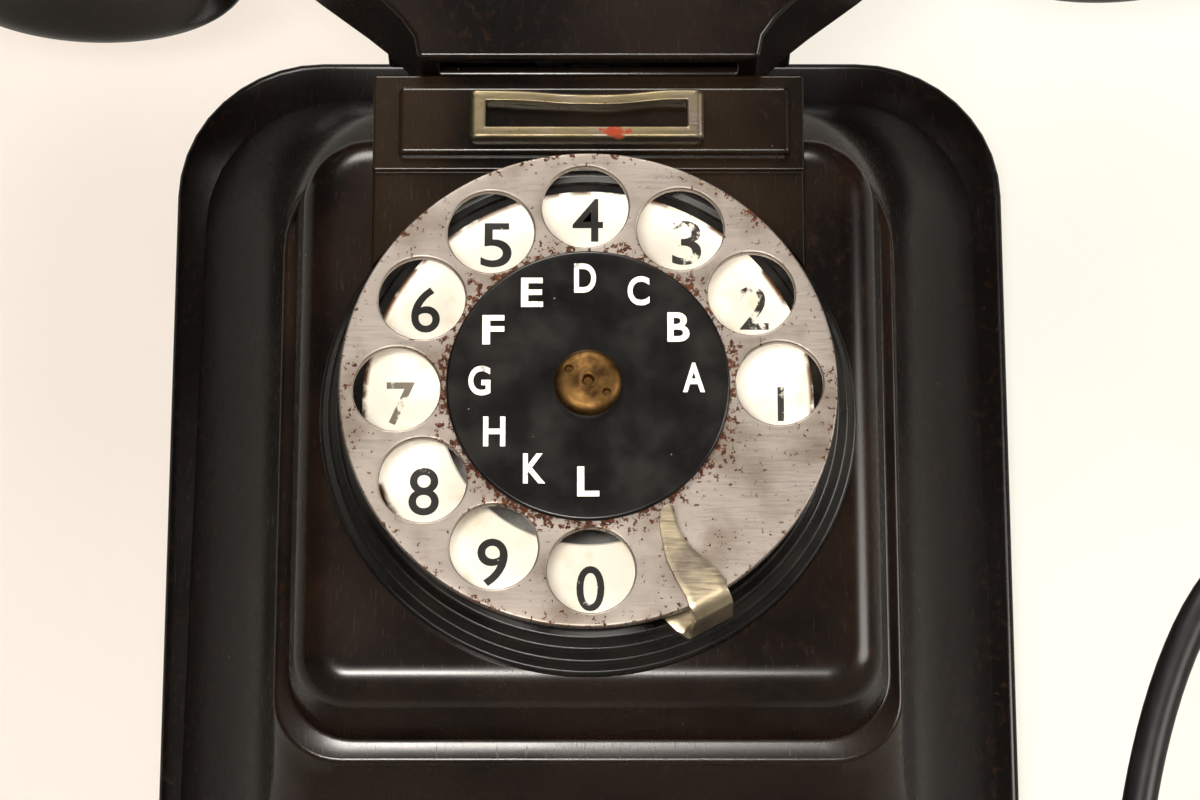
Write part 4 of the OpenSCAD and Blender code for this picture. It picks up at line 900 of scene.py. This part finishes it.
bm = bmesh.new()
bmesh.ops.create_grid(bm, x_segments=len(stop_rows) - 1, y_segments=6, size=1)
for vert in bm.verts:
    row = round((vert.co.x + 1) / 2 * (len(stop_rows) - 1))
    radius, out, right, left = stop_rows[row]
    vert.co = Vector((radius, right + (left - right) * (vert.co.y + 1) / 2, out))
bmesh.ops.recalc_face_normals(bm, faces=bm.faces)
finger_stop = finish(bm, "stop_blade", on_dial @ stop_turn, trim_nickel, "body", "finger_stop", angle=40,
                     weld=0)
sheet_wall = finger_stop.modifiers.new("thickness", "SOLIDIFY")
sheet_wall.thickness = STOP_T * MM
sheet_wall.offset = 0
edge_round = finger_stop.modifiers.new("edge", "BEVEL")
edge_round.width = 0.25 * MM
edge_round.segments = 2
edge_round.limit_method = "ANGLE"
edge_round.angle_limit = radians(50)


# %% [markdown]
# The label frame is stamped from nickel-plated sheet, with rounded edges and an empty window. Somebody has
# leaned on its upper bar, which sags in the middle. Outlines are bridged across the bar, then cut at many
# places along its length, so that the upper bar can be bent.

# %% Label frame
FRAME = reach("label_frame") / 2
FRAME_MIDDLE = middle("label_frame")
WINDOW = Vector((16.1, 2.3))
on_label = Matrix.Translation((FRAME_MIDDLE.x * MM, 0, FRAME_MIDDLE.z * MM)) @ on_wall
bar = Vector((FRAME.x - WINDOW.x, FRAME.z - WINDOW.y))
bm = bmesh.new()
rings = []
for share, out, corner in ((0.0, 0.0, 1.0), (0.0, 0.6, 1.0), (0.04, 1.0, 0.95), (0.13, 1.38, 0.85),
                           (0.25, 1.62, 0.75), (0.38, 1.7, 0.6), (0.9, 1.7, 0.35), (0.97, 1.6, 0.3),
                           (1.0, 1.4, 0.25), (1.0, 0.0, 0.25)):
    half, high = FRAME.x - bar.x * share, FRAME.z - bar.y * share
    rings.append(outline(bm, half, half, high, -high, corner, corner, PAD_OUT + out))
bridge_all(bm, rings + rings[:1])
for step in range(-16, 17):
    bmesh.ops.bisect_plane(bm, geom=bm.verts[:] + bm.edges[:] + bm.faces[:], dist=0.0001,
                           plane_co=(step * 1.1, 0, 0), plane_no=(1, 0, 0))
for vert in bm.verts:
    if vert.co.y > 0:
        hollow = max(0.0, min(1.0, (vert.co.x + 17.5) / 20.5, (13.5 - vert.co.x) / 10.5))
        vert.co.y -= 0.85 * hollow * hollow * (3 - 2 * hollow)
        vert.co.z += 0.12 * sin(vert.co.x * 0.5)
label_frame = finish(bm, "label_holder", on_label, label_nickel, "body", "label_frame", angle=38)
keep_flat(label_frame)

# %% [markdown]
# The cradle is a moulded apron with two arms that flare out into forks, and each fork is an open seat for
# the grip. Its solid already has the right form, and only its edges are too sharp for a moulding. A copy of
# the solid is merged, its flat faces are dissolved into one another, and its sharp edges are rounded. A
# narrow lip closes the hollow under the apron in front of the stem.

# %% Cradle
bm = bmesh.new()
bm.from_mesh(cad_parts["cradle"].data)
bmesh.ops.remove_doubles(bm, verts=bm.verts, dist=0.00002)
bmesh.ops.dissolve_degenerate(bm, edges=bm.edges, dist=0.00002)
bmesh.ops.dissolve_limit(bm, angle_limit=radians(1.5), verts=bm.verts, edges=bm.edges)
sharp = [edge for edge in bm.edges if len(edge.link_faces) == 2 and edge.calc_face_angle() > radians(38)]
bmesh.ops.bevel(bm, geom=sharp, offset=0.8 * MM, segments=3, profile=0.5, affect="EDGES", material=-1,
                clamp_overlap=False)
for vert in bm.verts:
    if vert.co.z < 0.0696 and vert.co.y < -0.07:
        vert.co.z -= 0.7 * MM
cradle = finish(bm, "cradle_moulding", Matrix.Identity(4), handset_resin, "cradle", "cradle", angle=32,
                weld=0)

LIP_UP, LIP_OUT = 68.2, 64.4
bm = bmesh.new()
rounded_block(bm, (-26.6, LIP_UP, LIP_OUT), (26.6, LIP_UP + 2.2, LIP_OUT + 2.4), 1.0, segments=4)
cradle_lip = finish(bm, "cradle_lip", on_wall, handset_resin, "cradle", angle=30)
keep_flat(cradle)

# %% [markdown]
# The handset is one moulding: a grip that thickens towards its ends, and a round head at each end. The
# grip is a row of circles, stretched and lowered along its length, and each head is spun. A voxel remesh
# melts the three into one skin, and smoothing gives the soft joints of a moulding. The heads are then
# hollowed for the capsules.

# %% Handset
GRIP_OUT = middle("receiver_capsule").y * -1
GRIP_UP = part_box("handset_handle")[1].z / MM - 10
EAR_X, MOUTH_X = middle("ear_cap").x, middle("mouthpiece_cap").x
GRIP_REACH, HEAD_R = 70.0, 25.0
HEAD_BASE, HEAD_TOP = GRIP_UP - 18, GRIP_UP + 8
NOSE_UP = GRIP_UP - 11.5
at_grip = Matrix.Translation((0, -GRIP_OUT * MM, 0)) @ upright
print("grip", round(GRIP_OUT, 1), "mm out and", round(GRIP_UP, 1), "mm up")


def add_turned(bm, profile, x, steps):
    """Adds a turned shape to the drawing, with its axis at x."""
    turned = bmesh.new()
    spin_profile(turned, profile, steps=steps)
    bmesh.ops.transform(turned, matrix=Matrix.Translation((x, 0, 0)), verts=turned.verts)
    part = mesh_from(turned, "turned")
    bm.from_mesh(part)
    bpy.data.meshes.remove(part)


def filled_loft(bm, loops):
    bridge_all(bm, loops)
    for loop in (loops[0], loops[-1]):
        bmesh.ops.edgenet_fill(bm, edges=loop)


bm = bmesh.new()
loops = []
for i in range(41):
    t = -1 + i / 20
    wide, high = 11.5 + 6 * abs(t) ** 5, 10 + 4 * abs(t) ** 5
    place = Matrix.Translation((t * GRIP_REACH, 0, GRIP_UP - 4 * t * t))
    verts = bmesh.ops.create_circle(bm, segments=48, radius=1, matrix=place @ Matrix.Rotation(pi / 2, 4, "Y")
                                    @ Matrix.Diagonal((high, wide, 1, 1)))["verts"]
    loops.append(edges_of(verts))
filled_loft(bm, loops)
dome = [(0.0, HEAD_TOP)] + arc(HEAD_R - 12, HEAD_TOP - 14 + 0.35, 12, 84, 0, 12)
for x in (EAR_X, MOUTH_X):
    add_turned(bm, dome + [(HEAD_R, HEAD_BASE), (0.0, HEAD_BASE)], x, steps=96)
along_grip = Matrix.Rotation(pi / 2, 4, "Y")
bmesh.ops.create_cone(bm, cap_ends=True, segments=48, radius1=6.4, radius2=6.2, depth=9,
                      matrix=Matrix.Translation((MOUTH_X + HEAD_R - 1.5, 0, NOSE_UP)) @ along_grip)
handset = finish(bm, "handset_moulding", at_grip, handset_resin, "handset", "handset_handle", angle=60)
remesh = handset.modifiers.new("one_skin", "REMESH")
remesh.mode = "VOXEL"
remesh.voxel_size = 0.8 * MM
soften = handset.modifiers.new("soft_joints", "SMOOTH")
soften.factor = 0.5
soften.iterations = 5
bpy.context.view_layer.update()
skin = bpy.data.meshes.new_from_object(handset.evaluated_get(bpy.context.evaluated_depsgraph_get()))
handset.modifiers.clear()
handset.data = skin

bm = bmesh.new()
hollow = [(0.0, HEAD_BASE - 5), (HEAD_R - 4.5, HEAD_BASE - 5), (HEAD_R - 4.5, HEAD_TOP - 14),
          (HEAD_R - 8, HEAD_TOP - 5), (HEAD_R - 14, HEAD_TOP - 3), (0.0, HEAD_TOP - 3)]
for x in (EAR_X, MOUTH_X):
    add_turned(bm, hollow, x, steps=64)
rod(bm, 4.55, 24, Matrix.Translation((MOUTH_X + HEAD_R, 0, NOSE_UP)) @ along_grip, segments=40)
cut_by(handset, cutter_from(bm, at_grip), "hollows")
handset.data.polygons.foreach_set("use_smooth", [True] * len(handset.data.polygons))
handset.data.set_sharp_from_angle(angle=radians(40))
print("handset skin has", len(handset.data.polygons), "faces")

# %% [markdown]
# The ear cap and the mouthpiece screw onto the heads. Each is turned: a smooth skirt, a rounded rim, and a
# face that is dished for the ear or flat for the mouth, with seven small holes for the sound. The thread
# line stays open as a fine dark gap under the head.

# %% Ear cap and mouthpiece
def sound_cap(name, node, x, radius, face, rise):
    profile = [(0.0, face + rise), (radius * 0.35, face + rise * 0.7), (radius * 0.5, face + rise * 0.36),
               (radius * 0.62, face + 0.4), (radius * 0.7, face + 0.05), (radius * 0.78, face + 0.05)]
    profile += [(px, face + 6 + (pz - face - 6) * 1.14) for px, pz in arc(radius - 5, face + 6, 5, -70, 0, 8)]
    profile += [(radius, HEAD_BASE - 1.2), (radius - 0.3, HEAD_BASE - 0.5), (radius - 1.0, HEAD_BASE - 0.15),
                (HEAD_R - 1.9, HEAD_BASE - 0.15), (HEAD_R - 1.9, HEAD_BASE - 3.8),
                (HEAD_R - 3, HEAD_BASE - 3.8), (HEAD_R - 3, face + 5), (HEAD_R - 4.6, face + 3),
                (0.0, face + 3)]
    bm = bmesh.new()
    spin_profile(bm, profile, steps=112)
    at_head = Matrix.Translation((x * MM, 0, 0)) @ at_grip
    cap = finish(bm, name, at_head, handset_resin, "handset", node, angle=35)
    bm = bmesh.new()
    for i in range(7):
        away, turn = (0, 0) if i == 6 else (radius * 0.27, radians(60 * i))
        rod(bm, 1.1, 9, Matrix.Translation((away * cos(turn), away * sin(turn), face + 1.5)), segments=20)
    cut_by(cap, cutter_from(bm, at_head), "sound_holes")
    return cap


EAR_R, MOUTH_R = reach("ear_cap").x / 2, reach("mouthpiece_cap").x / 2
sound_cap("ear_screw_cap", "ear_cap", EAR_X, EAR_R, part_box("ear_cap")[0].z / MM, 2.5)
sound_cap("mouth_screw_cap", "mouthpiece_cap", MOUTH_X, MOUTH_R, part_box("mouthpiece_cap")[0].z / MM, 1.0)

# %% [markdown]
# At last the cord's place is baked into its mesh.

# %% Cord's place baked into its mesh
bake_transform(cord)

# %% [markdown]
# The telephone hangs on a pale wall over a pale floor. Both are plain planes that count as the stage. The
# wall shows its back as clear, so that the telephone can be looked at from behind as well.

# %% Wall and floor
def stage_plane(name, size, matrix, colour, mirrored_colour):
    bm = bmesh.new()
    bmesh.ops.create_grid(bm, x_segments=1, y_segments=1, size=size / 2, matrix=matrix)
    mesh = mesh_from(bm, name)
    plane = put_in_scene(name, mesh)
    material = bpy.data.materials.new("paper_" + name)
    material.use_nodes = True
    tree = material.node_tree
    tree.nodes.clear()
    shade = add(tree, "BsdfDiffuse", {"Color": linear(colour)})
    across = add(tree, "SeparateXYZ", {"Vector": add(tree, "TexCoord").outputs["Object"]}).outputs["X"]
    # Seen from the camera, wall and floor are warm white with a painted fall-off of light across them: darker
    # and pinker to the left, brighter and yellower to the right.
    warm_tint_and_painted_falloff = blend_colours(tree, mask(tree, across, -0.1, 0.1), linear("f5e6d8"), linear("fcf8ea"))
    white = add(tree, "Emission", {"Color": warm_tint_and_painted_falloff, "Strength": 1.0})
    dim = add(tree, "Emission", {"Color": linear(mirrored_colour), "Strength": 1.0})
    clear = add(tree, "BsdfTransparent")
    rays = add(tree, "LightPath").outputs
    behind = add(tree, "NewGeometry").outputs["Backfacing"]
    mirrored = add(tree, "MixShader", {0: calc(tree, "MULTIPLY", rays["Is Glossy Ray"], 0.8),
                                       1: shade.outputs[0], 2: dim.outputs[0]})
    front = add(tree, "MixShader", {0: calc(tree, "MULTIPLY", rays["Is Camera Ray"], 0.8),
                                    1: mirrored.outputs[0], 2: white.outputs[0]})
    both = add(tree, "MixShader", {0: behind, 1: front.outputs[0], 2: clear.outputs[0]})
    add(tree, "OutputMaterial", {"Surface": both.outputs[0]})
    mesh.materials.append(material)
    return plane


FLOOR, WALL_GAP, ROOM = -0.27, 0.0008, 6.0
upright_wall = Matrix.Translation((0, WALL_GAP, FLOOR + ROOM / 2)) @ Matrix.Rotation(pi / 2, 4, "X")
stage_plane("wall", ROOM, upright_wall, "f4f3f0", "5c5850")
stage_plane("floor", ROOM, Matrix.Translation((0, WALL_GAP - ROOM / 2, FLOOR)), "efeeeb", "24221f")

# %% [markdown]
# The light is a soft studio. The main lamp stands in front and a little below, so it lights the enamel
# under the wheel and draws the lower edges of the case. A weaker one above and one on the right open the
# shadows, and the world is dim, so that black resin stays black.

# %% Lamps and world
def soft_lamp(name, place, target, size, power, colour):
    lamp = bpy.data.lights.new(name, "AREA")
    lamp.shape = "DISK"
    lamp.size = size
    lamp.energy = power
    lamp.color = linear(colour)[:3]
    holder = put_in_scene(name, lamp)
    holder.location = place
    holder.rotation_euler = (Vector(target) - Vector(place)).to_track_quat("-Z", "Y").to_euler()
    return holder


soft_lamp("high", (-0.12, -0.8, 0.95), (0, 0, 0), 0.5, 11.0, "fff9f1")
soft_lamp("front", (-0.1, -0.95, -0.3), (0, 0, 0), 0.32, 20.0, "fff9f1")
soft_lamp("side", (0.9, -0.6, 0.1), (0, 0, 0), 0.5, 6.0, "fff9f1")
world = bpy.data.worlds.new("studio")
world.use_nodes = True
bpy.context.scene.world = world
tree = world.node_tree
tree.nodes.clear()
sky = add(tree, "Background", {"Color": linear("f2f2f2"), "Strength": 0.04})
add(tree, "OutputWorld", {"Surface": sky.outputs[0]})
bpy.context.scene.view_settings.view_transform = "Standard"
